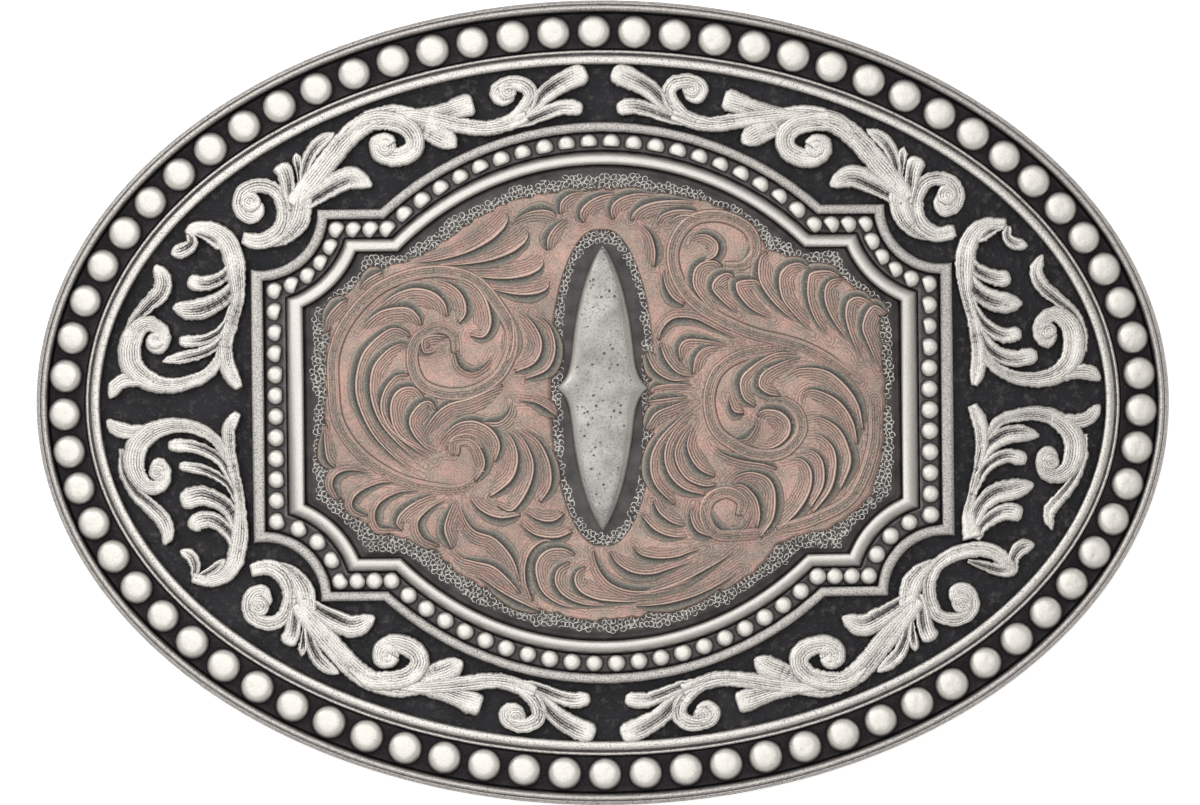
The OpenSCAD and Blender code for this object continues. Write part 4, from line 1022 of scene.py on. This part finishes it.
# Lobes: the width of the body and the line of the bright lip beside it. A lobe of minus width is hollow: its
# cut lies inside the lip.
LEFT_FEATHERS = [
    (1.3, (-14.9, -6), (-16.9, -4.8), (-19, -2.7), (-20.2, -0.4), (-20.6, 1.7), (-20.1, 4), (-19, 5.4),
      (-17.5, 6.4), (-16.3, 6.1), (-16, 5.6)),
    (1.2, (-14.7, -5.2), (-16.5, -3.8), (-18.4, -1.7), (-19.3, 0.6), (-19.2, 2.9), (-18.1, 4.4),
      (-16.8, 5.1), (-16, 4.8)),
    (1.1, (-14, -4.8), (-15.9, -3.6), (-17.7, -2.1), (-18.5, -0.4), (-18.2, 1.2), (-17.2, 2.4),
      (-16.1, 2.6)),
    (1.3, (-13.8, -4.4), (-15.5, -3.6), (-17.1, -2.5), (-17.7, -0.8), (-17.5, 0.6), (-16.7, 1.4),
      (-15.6, 1.4), (-14.8, 0.5)),
    (1.2, (-13.6, -4.2), (-14.8, -3.6), (-15.9, -2.3), (-16.1, -1.1), (-15.3, 0), (-14.4, 0.3),
      (-13.8, -0.5)),
    (1.4, (-20.4, 6.1), (-19.1, 7.4), (-17.9, 8), (-16.2, 8.1), (-15.3, 7.4), (-15, 6.6)),
    (1.5, (-19.1, 7.7), (-17.4, 9.1), (-15.7, 9.7), (-14.1, 9.4), (-13.1, 8.5), (-12.8, 7.3)),
    (1.3, (-13.9, 10.5), (-12.4, 9.9), (-11.5, 8.9), (-11.3, 7.6), (-11.9, 6.7)),
    (1.5, (-12.6, 10.8), (-10.7, 10.1), (-9.6, 8.7), (-9.2, 6.8), (-9.8, 5.6), (-11, 5.7)),
    (-0.5, (-9.1, 4.3), (-9.7, 3.2), (-10.8, 2.6), (-11.9, 3.1), (-12.3, 4.4)),
    (0.9, (-13.5, 4.5), (-14.8, 4.3), (-15, 5.4), (-14.1, 5.8), (-12.9, 5.7)),
    (1.3, (-15.5, -3.2), (-14.2, -1.1), (-12.9, 0), (-11.1, 0.5), (-9.4, 1.2), (-8.3, 1.6)),
    (-0.9, (-7.7, 0.3), (-7.8, -0.7), (-8.6, -1.5), (-10, -1.5)),
    (1.3, (-14, -3.6), (-13.3, -2.6), (-12.1, -1.6), (-10.7, -1.4), (-9.3, -2.1), (-8.6, -3.4), (-9, -4.9)),
    (0.9, (-13.2, -4.2), (-13.1, -3.5), (-12.2, -2.9), (-10.9, -3), (-10.1, -4), (-9.9, -5.2),
      (-10.7, -6.5)),
    (1.4, (-8.6, -1.8), (-7.5, -3), (-7.1, -4.7), (-7.7, -6.4), (-9.5, -7.8)),
    (1.3, (-8, -1.6), (-6.6, -3), (-5.8, -5.1), (-6.3, -7.2), (-7.6, -8.9), (-8.9, -8.5)),
    (1.2, (-7.1, -1.8), (-5.4, -3.1), (-4.5, -4.9), (-4.4, -6.8), (-5.3, -8.3)),
    (-0.7, (-7.2, 0.3), (-5.4, 0), (-3.8, -1.1)),
    (-0.6, (-19.2, -5.7), (-21.1, -5.4), (-22.3, -5.8), (-22.6, -6.7), (-22, -7.9)),
    (-0.6, (-16.8, -6.5), (-18.6, -6.5), (-20.3, -7.2), (-21, -8.1), (-20.7, -8.8), (-19.7, -9.2)),
    (-0.6, (-15, -7.2), (-17, -7.3), (-18.6, -8.1), (-19.1, -9.2), (-18.7, -10.2), (-17.3, -10.3)),
    (1.1, (-13.6, -7.3), (-15.3, -7.9), (-16.7, -8.8), (-17.3, -9.8), (-16.8, -10.5)),
    (-0.7, (-12.8, -7.8), (-14.4, -8.6), (-15.5, -9.8), (-15.1, -11.1), (-13.7, -11.8)),
    (1.1, (-12.3, -7.7), (-13, -9.2), (-13.3, -10.5), (-12.7, -12.1)),
    (1.3, (-12, -7.8), (-11.7, -9.2), (-10.8, -10.5), (-9.1, -11.2), (-7.7, -12.8), (-7, -14.8)),
    (1.3, (-11.4, -7.4), (-10.3, -8.8), (-8.7, -9.5), (-6.9, -9.3)),
    (1.3, (-12.8, -11.7), (-12, -12.7), (-10.8, -13.1), (-9.3, -13.5), (-8.1, -14.5), (-7, -15.8)),
    (1, (-11.2, -14), (-10, -14.7), (-8.7, -15.6), (-7.3, -16.4), (-5.4, -17.3)),
    (-0.8, (-3.7, -11.5), (-5.3, -11.6), (-6.4, -12.8), (-6.6, -14.7), (-6, -16.5)),
    (1, (-23.1, 6.1), (-22.9, 7.3), (-22, 8.4), (-21.2, 8.9)),
    (1, (-20.3, 9.6), (-19.5, 10.5), (-18.2, 11.2)),
    (0.9, (-23.3, -1.6), (-23.2, -3.3), (-23, -4.5), (-22.4, -5.2)),
    (1.1, (-7.6, 7.8), (-7.3, 5.9), (-7.4, 4.5), (-7.9, 3.4)),
    (1.3, (-7, 8), (-5.6, 6.5), (-5, 4.9), (-5.6, 3.4), (-7.3, 2.6)),
    (1.1, (-5.8, 7.8), (-4.3, 6.3), (-3.9, 4.4), (-4.6, 2.8), (-6.5, 2))
]
RIGHT_FEATHERS = [
    (1.2, (10.1, 6.8), (8.7, 8.1), (7.7, 9.5), (7.7, 10.8), (8.4, 11.6), (9.5, 11.7), (10.1, 11.2)),
    (1.2, (11.5, 7.1), (9.9, 8.5), (9.2, 9.5), (9.7, 10.4), (10.6, 10.7), (11.1, 10.3)),
    (1.2, (14.4, 6.7), (12.6, 7.6), (11.6, 8.6), (11.2, 9.5), (11.5, 10), (12.8, 10.1), (13.3, 9.6)),
    (1.3, (16.5, 6.3), (14.9, 7.6), (13.7, 9), (13.1, 10.3), (13.2, 11.8), (13.8, 12.5)),
    (1.3, (17.7, 5.4), (16.3, 6.9), (15.1, 8.4), (14.8, 10.1), (15.3, 11.1), (16.4, 11.5), (17.4, 11)),
    (1.3, (19, 5), (17.8, 6.7), (17.2, 8.4), (17.2, 10), (17.6, 10.7), (19, 10.8), (19.9, 10.3)),
    (1.2, (20.9, 4.5), (19.5, 6.3), (18.7, 7.9), (18.6, 9.2), (19.1, 10), (20.1, 10.2)),
    (1.3, (21.6, 3.3), (20.7, 5.4), (20.3, 7.1), (20.6, 8.3), (21.5, 8.6), (22.6, 8.1)),
    (1.2, (23.1, 2.4), (22.2, 4.6), (21.7, 6), (22.1, 7.3), (22.8, 7.9), (23.8, 7.2)),
    (-0.8, (11.5, 5), (9.4, 6.1), (7.8, 6.9), (6.1, 7), (5.1, 6.2), (4.7, 5.1)),
    (1, (10.7, 4.7), (8.8, 5.1), (7.1, 5.2), (6.4, 4.5), (6.5, 3.4)),
    (0.9, (10.1, 4.7), (8.6, 4.5), (7.8, 3.7), (7.5, 2.3)),
    (1.1, (7.8, 2), (6.3, 2.4), (5.3, 3.5), (4.8, 4.9)),
    (1, (7.5, 1.8), (5.8, 1.8), (4.4, 2.6), (3.6, 4.1)),
    (0.8, (7.7, 1.4), (5.9, 1.5), (4.4, 1.3), (3.9, 0.8)), (0.9, (7.3, 0.5), (5.4, 0.3), (3.7, 0.1)),
    (1, (7.5, 0.3), (5.8, -0.3), (4.4, -0.9), (3.5, -2.3)),
    (1.3, (7.9, -0.1), (6.2, -1.5), (4.6, -3.2), (3.9, -5), (4.3, -6.9), (5.9, -8.6)),
    (1.3, (7.3, -0.9), (5.8, -2.5), (5.1, -4.2), (5.4, -5.9), (6.6, -7.2), (8.5, -7.8)),
    (1.2, (7.6, -1.3), (6.2, -3.4), (6, -4.8), (6.8, -6.3), (8.2, -7), (9.4, -7)),
    (1.1, (7.6, -1.7), (7, -3.4), (7.3, -4.7), (8.1, -5.7), (9.3, -6.3)),
    (-0.8, (9.1, -3.4), (9.9, -4.3), (11.4, -4.9), (13.1, -5.2), (14.5, -5.6)),
    (1.4, (16.7, 4), (14.5, 4), (12.6, 3), (11.5, 1.8), (11.7, 0.3), (12.7, -0.5)),
    (1.2, (16.8, 3.8), (14.9, 3.2), (13.4, 2.4), (13, 1.3), (13.8, 0.6), (14.8, 0.4)),
    (1.4, (14.8, 1.9), (16.5, 2.7), (18.6, 2.5), (20.2, 1.3), (21.3, -0.4), (21.7, -2.5)),
    (1.2, (16.4, -0.5), (16.7, 0.6), (17.7, 0.9), (19.6, 0), (20.8, -1.7), (21.2, -3.7)),
    (1.4, (16.9, -1.5), (18.1, -1.4), (19.6, -2.3), (20.4, -3.8), (20.6, -5.4), (19.7, -7.5)),
    (1.3, (16.9, -2.7), (18.1, -2.9), (19.2, -4), (19.4, -5.6), (18.9, -7.5), (17.4, -9.4)),
    (1.2, (16.2, -4.2), (17.5, -4.2), (18.3, -5.2), (18.3, -7.1), (17.2, -9)),
    (1.4, (15, -5), (16.4, -4.8), (17.3, -5.8), (17.2, -7.5), (16.2, -9.2), (14.7, -10.6)),
    (-0.6, (12.6, -1.2), (12.7, -2.1), (12, -3.1), (10.9, -3.2)),
    (0.9, (10.4, 0.5), (10.9, -0.8), (11.8, -1)),
    (1.2, (10.2, -7.6), (10.8, -6.4), (12.2, -5.9), (13.7, -6.4), (14.3, -7.7), (14.1, -9.8), (13, -11.4)),
    (0.9, (9.9, -7.4), (11.4, -6.9), (12.6, -7.9), (13, -9.3), (12.8, -10.6)),
    (-0.6, (11.8, -8.9), (12.1, -9.7), (11.4, -10.7), (9.9, -10.8), (8.7, -9.7), (8.4, -8.4), (9.3, -7.6)),
    (1, (7.5, -8.4), (7.2, -9.4), (7.7, -10.7), (9, -11.3)),
    (1.1, (7.2, 13.2), (7.7, 13.8), (8.8, 13.9), (9.7, 13.2), (9.6, 12.2), (8.6, 11.6)),
    (-0.5, (12.4, 14.2), (12.6, 12.9), (12.3, 11.8), (11.4, 11.4)),
    (1, (5.1, 11.2), (5.3, 9.8), (5.9, 8.7), (6.9, 8)),
    (1.2, (4.5, 14.6), (5.1, 15.6), (6.4, 16), (8, 15.9)),
    (1.1, (5.6, 14.8), (6.2, 15.4), (7.2, 15.6), (8.3, 15.3)),
    (1.6, (12.6, -3.9), (14.2, -3.9), (15.4, -3), (15.6, -1.8), (14.8, -0.9), (13.5, -0.7), (12.8, -1.2))
]
LOW_FEATHERS = [
    (1.3, (-1.6, -17.2), (-3.6, -16.8), (-5.1, -15.8), (-5.7, -14.3), (-5.6, -13.1), (-4.7, -12.2),
      (-3.4, -12.1), (-2.4, -12.6)),
    (1, (0.6, -16.9), (-1.6, -16.8), (-3.3, -16.1), (-4.1, -15), (-3.9, -13.9), (-2.9, -13.2)),
    (1.3, (3.4, -16.6), (1.4, -16.6), (-0.5, -16.4), (-1.9, -15.8), (-2.5, -14.9), (-2.3, -14.1),
      (-1.6, -13.6)),
    (0.8, (11.4, -14), (9.6, -15.2), (7.4, -16.2), (5, -16.8), (2.6, -17)),
    (1, (11.2, -12.2), (9.8, -13.2), (8.2, -14.1), (6.4, -15), (4.4, -15.7), (2.4, -16.1)),
    (-0.9, (8.4, -14.2), (6, -15.2), (3.6, -15.7), (1.8, -15.6), (0.3, -14.9), (-0.6, -13.6), (-0.9, -12.3)),
    (1.1, (7.6, -13.2), (5.4, -13.9), (4, -14.3), (2.5, -14.2), (1.2, -13.5), (0.4, -12.4)),
    (0.9, (8.4, -12.2), (7.2, -12.5), (6, -12.9), (4.5, -13), (3.1, -12.7), (2.4, -12)),
    (1.2, (7.2, -11.3), (5.6, -11.2), (4.2, -10.6), (3.1, -9.4)),
    (1.1, (7, -10.4), (5.8, -10.1), (4.7, -9.3), (4.1, -8.2)),
    (1.2, (-7.4, -9.6), (-5.8, -10.9), (-4, -11.2), (-2.6, -10.7)),
    (1, (-6.8, -8.9), (-5.4, -9.7), (-4.2, -9.8), (-3.3, -9.2))
]
TOP_FEATHERS = [
    (1, (-1.2, 17.6), (-2.5, 17.4), (-3.3, 16.7), (-3.4, 15.7)),
    (1.2, (1.8, 17.5), (0.2, 17.3), (-0.9, 16.8), (-1.6, 16.1), (-1.7, 15.5), (-1.4, 15)),
    (1.1, (5, 17.2), (3.4, 17.4), (2.1, 17.2), (1.2, 16.7), (0.85, 16), (1, 15.2)),
    (1.2, (8.2, 16.7), (6.2, 16.8), (4.6, 16.7), (3.4, 16.3), (2.7, 15.7), (2.5, 15.1)),
    (1, (-2.7, 15.5), (-3.7, 14.8), (-4.4, 13.8), (-4.5, 12.7)),
    (0.9, (3.2, 15), (4.1, 14), (4.5, 12.6), (4.4, 11.2))
]
# Plain lobes: root, bend, tip and width.
PLAIN_LOBES = [
    [(-16.2, 11.9), (-10.6, 12.6), (-7.9, 15.9), 1.6], [(-13.9, 11.7), (-8.4, 12.2), (-6.2, 14.5), 1.6],
    [(-11.4, 10.9), (-7, 10.6), (-4.9, 12.1), 1.5], [(-9.8, 9.9), (-6.6, 9.2), (-4.4, 10.2), 1.4],
    [(-7.6, 14.8), (-5.6, 16.1), (-3.8, 15.3), 1.1]
]
# Stems, each with a dotted band along its middle.
COPPER_STEMS = [
    [(-10.2, -4.2), (-10.3, -5.9), (-11.8, -7.1), (-14.6, -7), (-17.6, -6), (-20.4, -4), (-22.1, -1.4),
      (-22.5, 1.5), (-22.4, 4.4), (-21.2, 7.1), (-18.8, 9.6), (-15.8, 10.9), (-12.9, 11.1), (-10.3, 10.2),
      (-8.4, 7.9), (-7.5, 6), (-7.6, 4.1), (-8.7, 2.2), (-10.7, 1), (-12.9, 0.8), (-14.9, 1.5), (-15.8, 3),
      (-15.8, 4.8), (-14.9, 6), (-13.4, 6.4), (-12.3, 5.7), (-12.1, 4.3)],
    [(-10.2, -4.2), (-10.9, -2.9), (-12.3, -3.1), (-12.5, -4.3)],
    [(21.5, 1.5), (17, 4.3), (12, 5.8), (8, 8), (6.2, 10.5), (6, 13), (7.5, 15.1), (10, 15.5), (12.3, 14.4),
      (12.9, 12.6), (11.9, 11.3), (10.3, 11.2)],
    [(16.9, 4.4), (13.8, 4.3), (11.4, 3.8), (9.8, 2.8), (9, 1.4), (8.8, -0.4), (9.4, -2.4), (10.8, -3.6),
      (12.6, -4.45), (14.65, -4.45), (15.9, -3.6), (16.6, -2.4), (16.3, -1), (15.3, -0.1), (13.6, 0.1)],
    [(22.7, 0), (22.5, -4), (20.8, -8), (17.6, -9.9), (14.4, -10.8)],
    [(13.6, -11), (11.6, -11.2), (9.4, -11.1), (8.4, -9.6), (8.8, -8.1), (10.3, -7.5), (11.6, -8.3),
      (11.4, -9.6)]
]
STEM_WIDE = 0.72
LOBE_CUT, STEM_CUT = 0.85, 0.4
LOBE_STACK, ROOT_SINKS = 0.004, 0.05
LOBE_PITCH, STEM_PITCH, FIELD_PITCH = 0.21, 0.2, 0.23
LOBE_SPREAD = ((0, 0.12), (0.25, 0.45), (0.55, 0.82), (0.78, 1), (0.9, 0.92), (0.96, 0.68), (0.99, 0.34),
               (1, 0.05))
FEATHER_SPREAD = ((0, 0.15), (0.25, 0.7), (0.55, 1), (0.75, 1), (0.88, 0.7), (0.96, 0.4), (1, 0.1))
COPPER_STEM_SPREAD = ((0, 0.5), (0.1, 1), (0.9, 1), (1, 0.6))
CUT_SPREAD = ((0, 0.05), (0.15, 0.25), (0.45, 0.8), (0.7, 1), (0.92, 0.6), (1, 0.1))
# Columns: across, share of the cut beside the lobe, height, painted shade (the cut's shadow and a softer
# shade on the lobe's far side), lip.
LOBE_FORM = [(-1, -0.1, -0.05, 0.1, 0), (-1, 0, 0.004, 0.25, 0), (-0.7, 0, 0.01, 0.12, 0),
             (-0.35, 0, 0.02, 0.04, 0), (0, 0, 0.035, 0, 0), (0.3, 0, 0.05, 0, 0), (0.4, 0, 0.07, 0, 0.4),
             (0.5, 0, 0.06, 0, 0), (0.72, 0, 0.1, 0, 0.1), (0.88, 0, 0.15, 0, 1), (1, 0, 0.13, 0, 0.9),
             (1, 0.05, 0.05, 1, 0), (1, 0.3, 0.04, 0.95, 0), (1, 0.55, 0.035, 0.62, 0),
             (1, 0.8, 0.03, 0.3, 0), (1, 1, -0.05, 0.05, 0)]
# The stem's painted shade lies just beside it and along its sunk middle.
STEM_FORM = [(-1, -0.35, -0.05, 0, 0), (-1, -0.15, 0.03, 0.3, 0), (-1, 0, 0.07, 0, 0.35),
             (-0.72, 0, 0.07, 0, 0.1), (-0.5, 0, 0.05, 0.26, 0), (0, 0, 0.05, 0.34, 0),
             (0.5, 0, 0.05, 0.26, 0), (0.72, 0, 0.07, 0, 0.1), (1, 0, 0.07, 0, 0.35),
             (1, 0.25, 0.03, 0.3, 0), (1, 0.5, -0.05, 0, 0)]
COPPER_DARK = (0.05, 0.047, 0.05)
# Tones of the painted shadow in the cuts, from darkest to a grey-green half shade.
COPPER_CUT_SHADOW = (0.075, 0.072, 0.070)
COPPER_GREEN_SHADE = (0.25, 0.255, 0.215)
COPPER_OLIVE = (0.43, 0.34, 0.285)
COPPER_ROSE = (0.62, 0.385, 0.325)
COPPER_PALE = (0.82, 0.61, 0.52)
COPPER_SPECK = (0.54, 0.49, 0.42)
COPPER_BASE = SEAT + PANEL + FIELD


def engraved(name, rows, finish):
    """Lobes and stems as one mesh of closed strokes. Each row: path, run, width, spread, form, line pitch,
    cut width, order, and 1 where the path is the stroke's bright edge instead of its middle."""
    verts, faces = [], []
    facts = {"across": [], "cut": [], "dark": [], "lip": []}
    for path, run, width, spread, form, pitch, cut_width, order, aside in rows:
        left = leftward(path)
        share = run / run[-1]
        bulge = path[len(path) // 2] - (path[0] + path[-1]) / 2
        convex = np.sign(np.dot(bulge, left[len(left) // 2])) * np.sign(width)
        half = abs(width) / 2 * np.interp(share, *zip(*spread))
        cut_wide = cut_width * np.interp(share, *zip(*CUT_SPREAD))
        faces += skin(len(run), len(form), "capped", len(verts))
        for i, at in enumerate(share):
            fade = min(1.0, at * 6)
            for v, past, high, dark, lip in form:
                reach = (v - aside) * half[i] + (past if past < 0 else past * cut_wide[i])
                x, y = turned((path[i] + left[i] * reach * convex)[None])[0]
                z = COPPER_BASE + high * fade + LOBE_STACK * order - ROOT_SINKS * (1 - fade) ** 2 + crown(x)
                verts.append((x, y, z))
                facts["across"].append(reach / pitch)
                facts["cut"].append(1.0 if v < 0.85 and not past else 0.0)
                facts["dark"].append(dark * fade)
                facts["lip"].append(lip * fade)
    return shaped(name, verts, faces, finish, facts)


def lobe_line(root, bend_at, tip, step=0.2):
    """A line along a plain lobe, its steps shorter towards the tip."""
    t = np.linspace(0, 1, 60)[:, None]
    line = (1 - t) ** 2 * np.array(root) + 2 * t * (1 - t) * np.array(bend_at) + t * t * np.array(tip)
    end = lengths(line)[-1]
    at = end * (1 - (1 - np.linspace(0, 1, max(12, int(end / step)) + 1)) ** 1.7)
    return stops_on(line, at), at


copper_finish, tree, shader = new_finish("engraved_copper")
place = object_place(tree)
across, cut, dark, lip = [attribute(tree, label) for label in ("across", "cut", "dark", "lip")]
shift = (noise(place, 1500.0) - 0.5) * 1.1
line_mask = stretched(sawtooth(across + shift), 0.05, 0.42, 1.0, 0.0) * cut
speck = noise(place, 6500.0, 2.0, 0.7)
body = mixed(stretched(noise(place, 620.0, 5.0, 0.75), 0.36, 0.66), COPPER_OLIVE, COPPER_ROSE)
# The painted shade runs from grey-green to near black in the cuts beside the lobes.
cut_shadow_tone = shade(dark + (speck - 0.5) * 0.7, (0.3, COPPER_GREEN_SHADE), (1.0, COPPER_CUT_SHADOW))
for share, tone in (
        (stretched(noise(place, 150.0, 1.0), 0.35, 0.65, 0.0, 0.24), COPPER_DARK),
        (line_mask * 0.46, COPPER_DARK), (stretched(dark, 0.0, 0.7) * 0.95, cut_shadow_tone),
        (lip * 0.8, COPPER_PALE),
        (stretched(speck, 0.52, 0.72, 0.0, 0.42), COPPER_SPECK),
        (stretched(speck, 0.28, 0.46, 0.4, 0.0), COPPER_DARK)):
    body = mixed(share, body, tone)
plug(shader, {"Base Color": body, "Metallic": 0.75, "Roughness": stretched(speck, 0.2, 0.8, 0.5, 0.34),
              "Normal": bump(speck * 0.3 - line_mask, 0.5, 0.00005)})

rows = [(*smooth_path(points, 0.22), STEM_WIDE, COPPER_STEM_SPREAD, STEM_FORM, STEM_PITCH, STEM_CUT, 6, 0)
        for points in COPPER_STEMS]
feathers = LEFT_FEATHERS + RIGHT_FEATHERS + LOW_FEATHERS + TOP_FEATHERS
rows += [(*smooth_path(points, 0.24), width, FEATHER_SPREAD, LOBE_FORM, LOBE_PITCH, LOBE_CUT, order % 5, 1)
         for order, (width, *points) in enumerate(feathers)]
rows += [(*lobe_line(*points), width, LOBE_SPREAD, LOBE_FORM, LOBE_PITCH, LOBE_CUT, order % 5, 0)
         for order, (*points, width) in enumerate(PLAIN_LOBES)]
carved = engraved("copper_carving", rows, copper_finish)
marks = np.vstack([turned(row[0]) for row in rows])
nearest = kdtree.KDTree(len(marks))
for i, (x, y) in enumerate(marks):
    nearest.insert((x, y, 0), i)
nearest.balance()


def field_facts(places):
    """Lines of the bare field, which follow the nearest lobe or stem and fade away from it."""
    away = np.array([nearest.find((x, y, 0))[2] for x, y in places])
    cut = 0.75 * np.clip(1.4 - away / 0.8, 0.25, 1)
    return {"across": away / FIELD_PITCH, "cut": cut, "dark": 0 * away, "lip": 0 * away}


field_rings = [(copper_reach + 0.1, PANEL - 0.05), (copper_reach, PANEL + 0.12),
               (copper_reach - 0.12, PANEL + FIELD)]
field_rings += [(copper_reach * (1 - t) + halo_reach * t, PANEL + FIELD)
                for t in np.linspace(0.02, 0.98, 80)]
field_rings += [(halo_reach, PANEL + 0.12), (halo_reach - 0.1, PANEL - 0.05)]
field = lofted("field", field_rings, copper_finish, facts_at=field_facts)

dot_tree, given, out = grow_tree("dotted_lines", {"Pitch": 0.00027, "Dot": 0.0001, "Bow radius": 0.235})
line = then(given["Geometry"], "GeometryNodeMeshToCurve")
stops = then(line, "GeometryNodeCurveToPoints", {"Length": given["Pitch"]}, mode="LENGTH")
dot = add(dot_tree, "GeometryNodeMeshIcoSphere", {"Radius": given["Dot"], "Subdivisions": 1})
size = drawn(dot_tree, (0.4, 0.4, 0.5), (1.4, 1.1, 1.2), 5)
stray = drawn(dot_tree, (-0.00009, -0.00009, -0.00004), (0.00009, 0.00009, 0.00002), 9)
strewn = then(stops, "GeometryNodeSetPosition", {"Offset": stray})
dots = then(strewn, "GeometryNodeInstanceOnPoints", {"Instance": dot, "Scale": size})
end_tree(bow(dots, given["Bow radius"]), given, out)
dot_metal, tree, shader = new_finish("dot_metal")
fleck = noise(object_place(tree), 2600.0)
plug(shader, {"Base Color": shade(fleck, (0.35, (0.3, 0.24, 0.2)), (0.65, (0.78, 0.66, 0.56))),
              "Metallic": 0.75, "Roughness": 0.45})
dot_points, dot_edges = [], []
for points in COPPER_STEMS:
    path, _ = smooth_path(points, 0.3)
    for beside in (-0.13, 0.13):
        start = len(dot_points)
        dot_points += [(x, y, COPPER_BASE + 0.08) for x, y in turned(path + leftward(path) * beside)]
        dot_edges += [(i, i + 1) for i in range(start, len(dot_points) - 1)]
dotted = grown(placed("dotted", meshed("dotted", dot_points, dot_edges)), dot_tree, {
    "Bow radius": CROWN_R * 0.001, "Finish": dot_metal})
fit(joined("copper_field", field, dotted), "antique_copper")
fit(carved, "antique_copper")

# Middle ornament. A cast silver spindle, soldered on: pointed at both ends, waisted points at its sides,
# a satin face full of small casting pits and a rubbed bevel all round.
SPINDLE_ROWS = 90
SPINDLE_FORM = [(-1, 0), (-0.98, 0.25), (-0.93, 0.5), (-0.84, 0.66), (-0.7, 0.76), (-0.4, 0.79), (0, 0.8),
                (0.4, 0.79), (0.7, 0.76), (0.84, 0.66), (0.93, 0.5), (0.98, 0.25), (1, 0)]
PIT_BLACK = (0.05, 0.048, 0.05)
pitted, tree, shader = new_finish("pitted_silver")
place = object_place(tree)
grit = noise(place, 6000.0)
pits = add(tree, "ShaderNodeTexVoronoi", {"Vector": place, "Scale": 2300.0})
pit = stretched(pits, 0.1, 0.34, 1.0, 0.0) * stretched(noise(place, 1500.0), 0.5, 0.62)
satin = shade(noise(place, 420.0, 4.0), (0.3, (0.33, 0.32, 0.305)), (0.7, (0.58, 0.565, 0.53)))
for share, tone in (
        (stretched(grit, 0.48, 0.7, 0.0, 0.6), (0.2, 0.195, 0.19)), (pit * 0.85, PIT_BLACK),
        (stretched(attribute(tree, "bevel"), 0.08, 0.6, 0.0, 0.7), SILVER),
        # Where other metal stands close the satin is darkened: painted shade, besides the tarnish in the
        # creases.
        (stretched(open_sky(tree, 0.0007), 0.3, 0.9, 0.85, 0.0), TARNISH_AND_SHADE)):
    satin = mixed(share, satin, tone)
plug(shader, {"Base Color": satin, "Metallic": 0.85, "Roughness": 0.42,
              "Normal": bump(grit * 0.5 - pit, 0.6, 0.00006)})


def ornament_half(v):
    """Half width of the middle ornament at this share of its half height."""
    return 2.7 * np.clip(1 - v ** 2.2, 0, 1) ** 0.8 + 1.2 * np.exp(-14 * v)


tall = ORNAMENT_HALF * np.sin(np.linspace(-math.pi / 2, math.pi / 2, SPINDLE_ROWS + 1))[1:-1]
verts = []
for y in tall:
    half = ornament_half(abs(y) / ORNAMENT_HALF)
    thin = min(1.0, 0.25 + half / 1.5)
    verts += [(v * half, y + ORNAMENT_Y, SEAT + PANEL + high * thin + crown(v * half))
              for v, high in SPINDLE_FORM]
bevel = [abs(v) ** 6 for v, _ in SPINDLE_FORM] * len(tall)
spindle = shaped("spindle", verts, skin(len(tall), len(SPINDLE_FORM), "capped"), pitted, {"bevel": bevel})
fit(spindle, "antique_silver", "center_spindle")

# Back fittings. The loop for the fixed strap end and the peg for the holes are satin nickel-plated steel,
# cast or brazed onto the plate's back.
fitting_steel, tree, shader = new_finish("satin_nickel")
place = object_place(tree)
brushed = add(tree, "ShaderNodeMapping", {"Vector": place, "Scale": (1500.0, 9000.0, 1500.0)})
grain = noise(brushed, 1.0, 3.0)
nickel = shade(noise(place, 400.0, 3.0), (0.3, (0.42, 0.41, 0.39)), (0.7, (0.66, 0.65, 0.62)))
plug(shader, {"Base Color": nickel, "Metallic": 1.0, "Roughness": stretched(grain, 0.3, 0.7, 0.28, 0.42),
              "Normal": bump(grain, 0.25, 0.00003)})
dress("strap_loop", fitting_steel)
dress("hook_peg", fitting_steel)
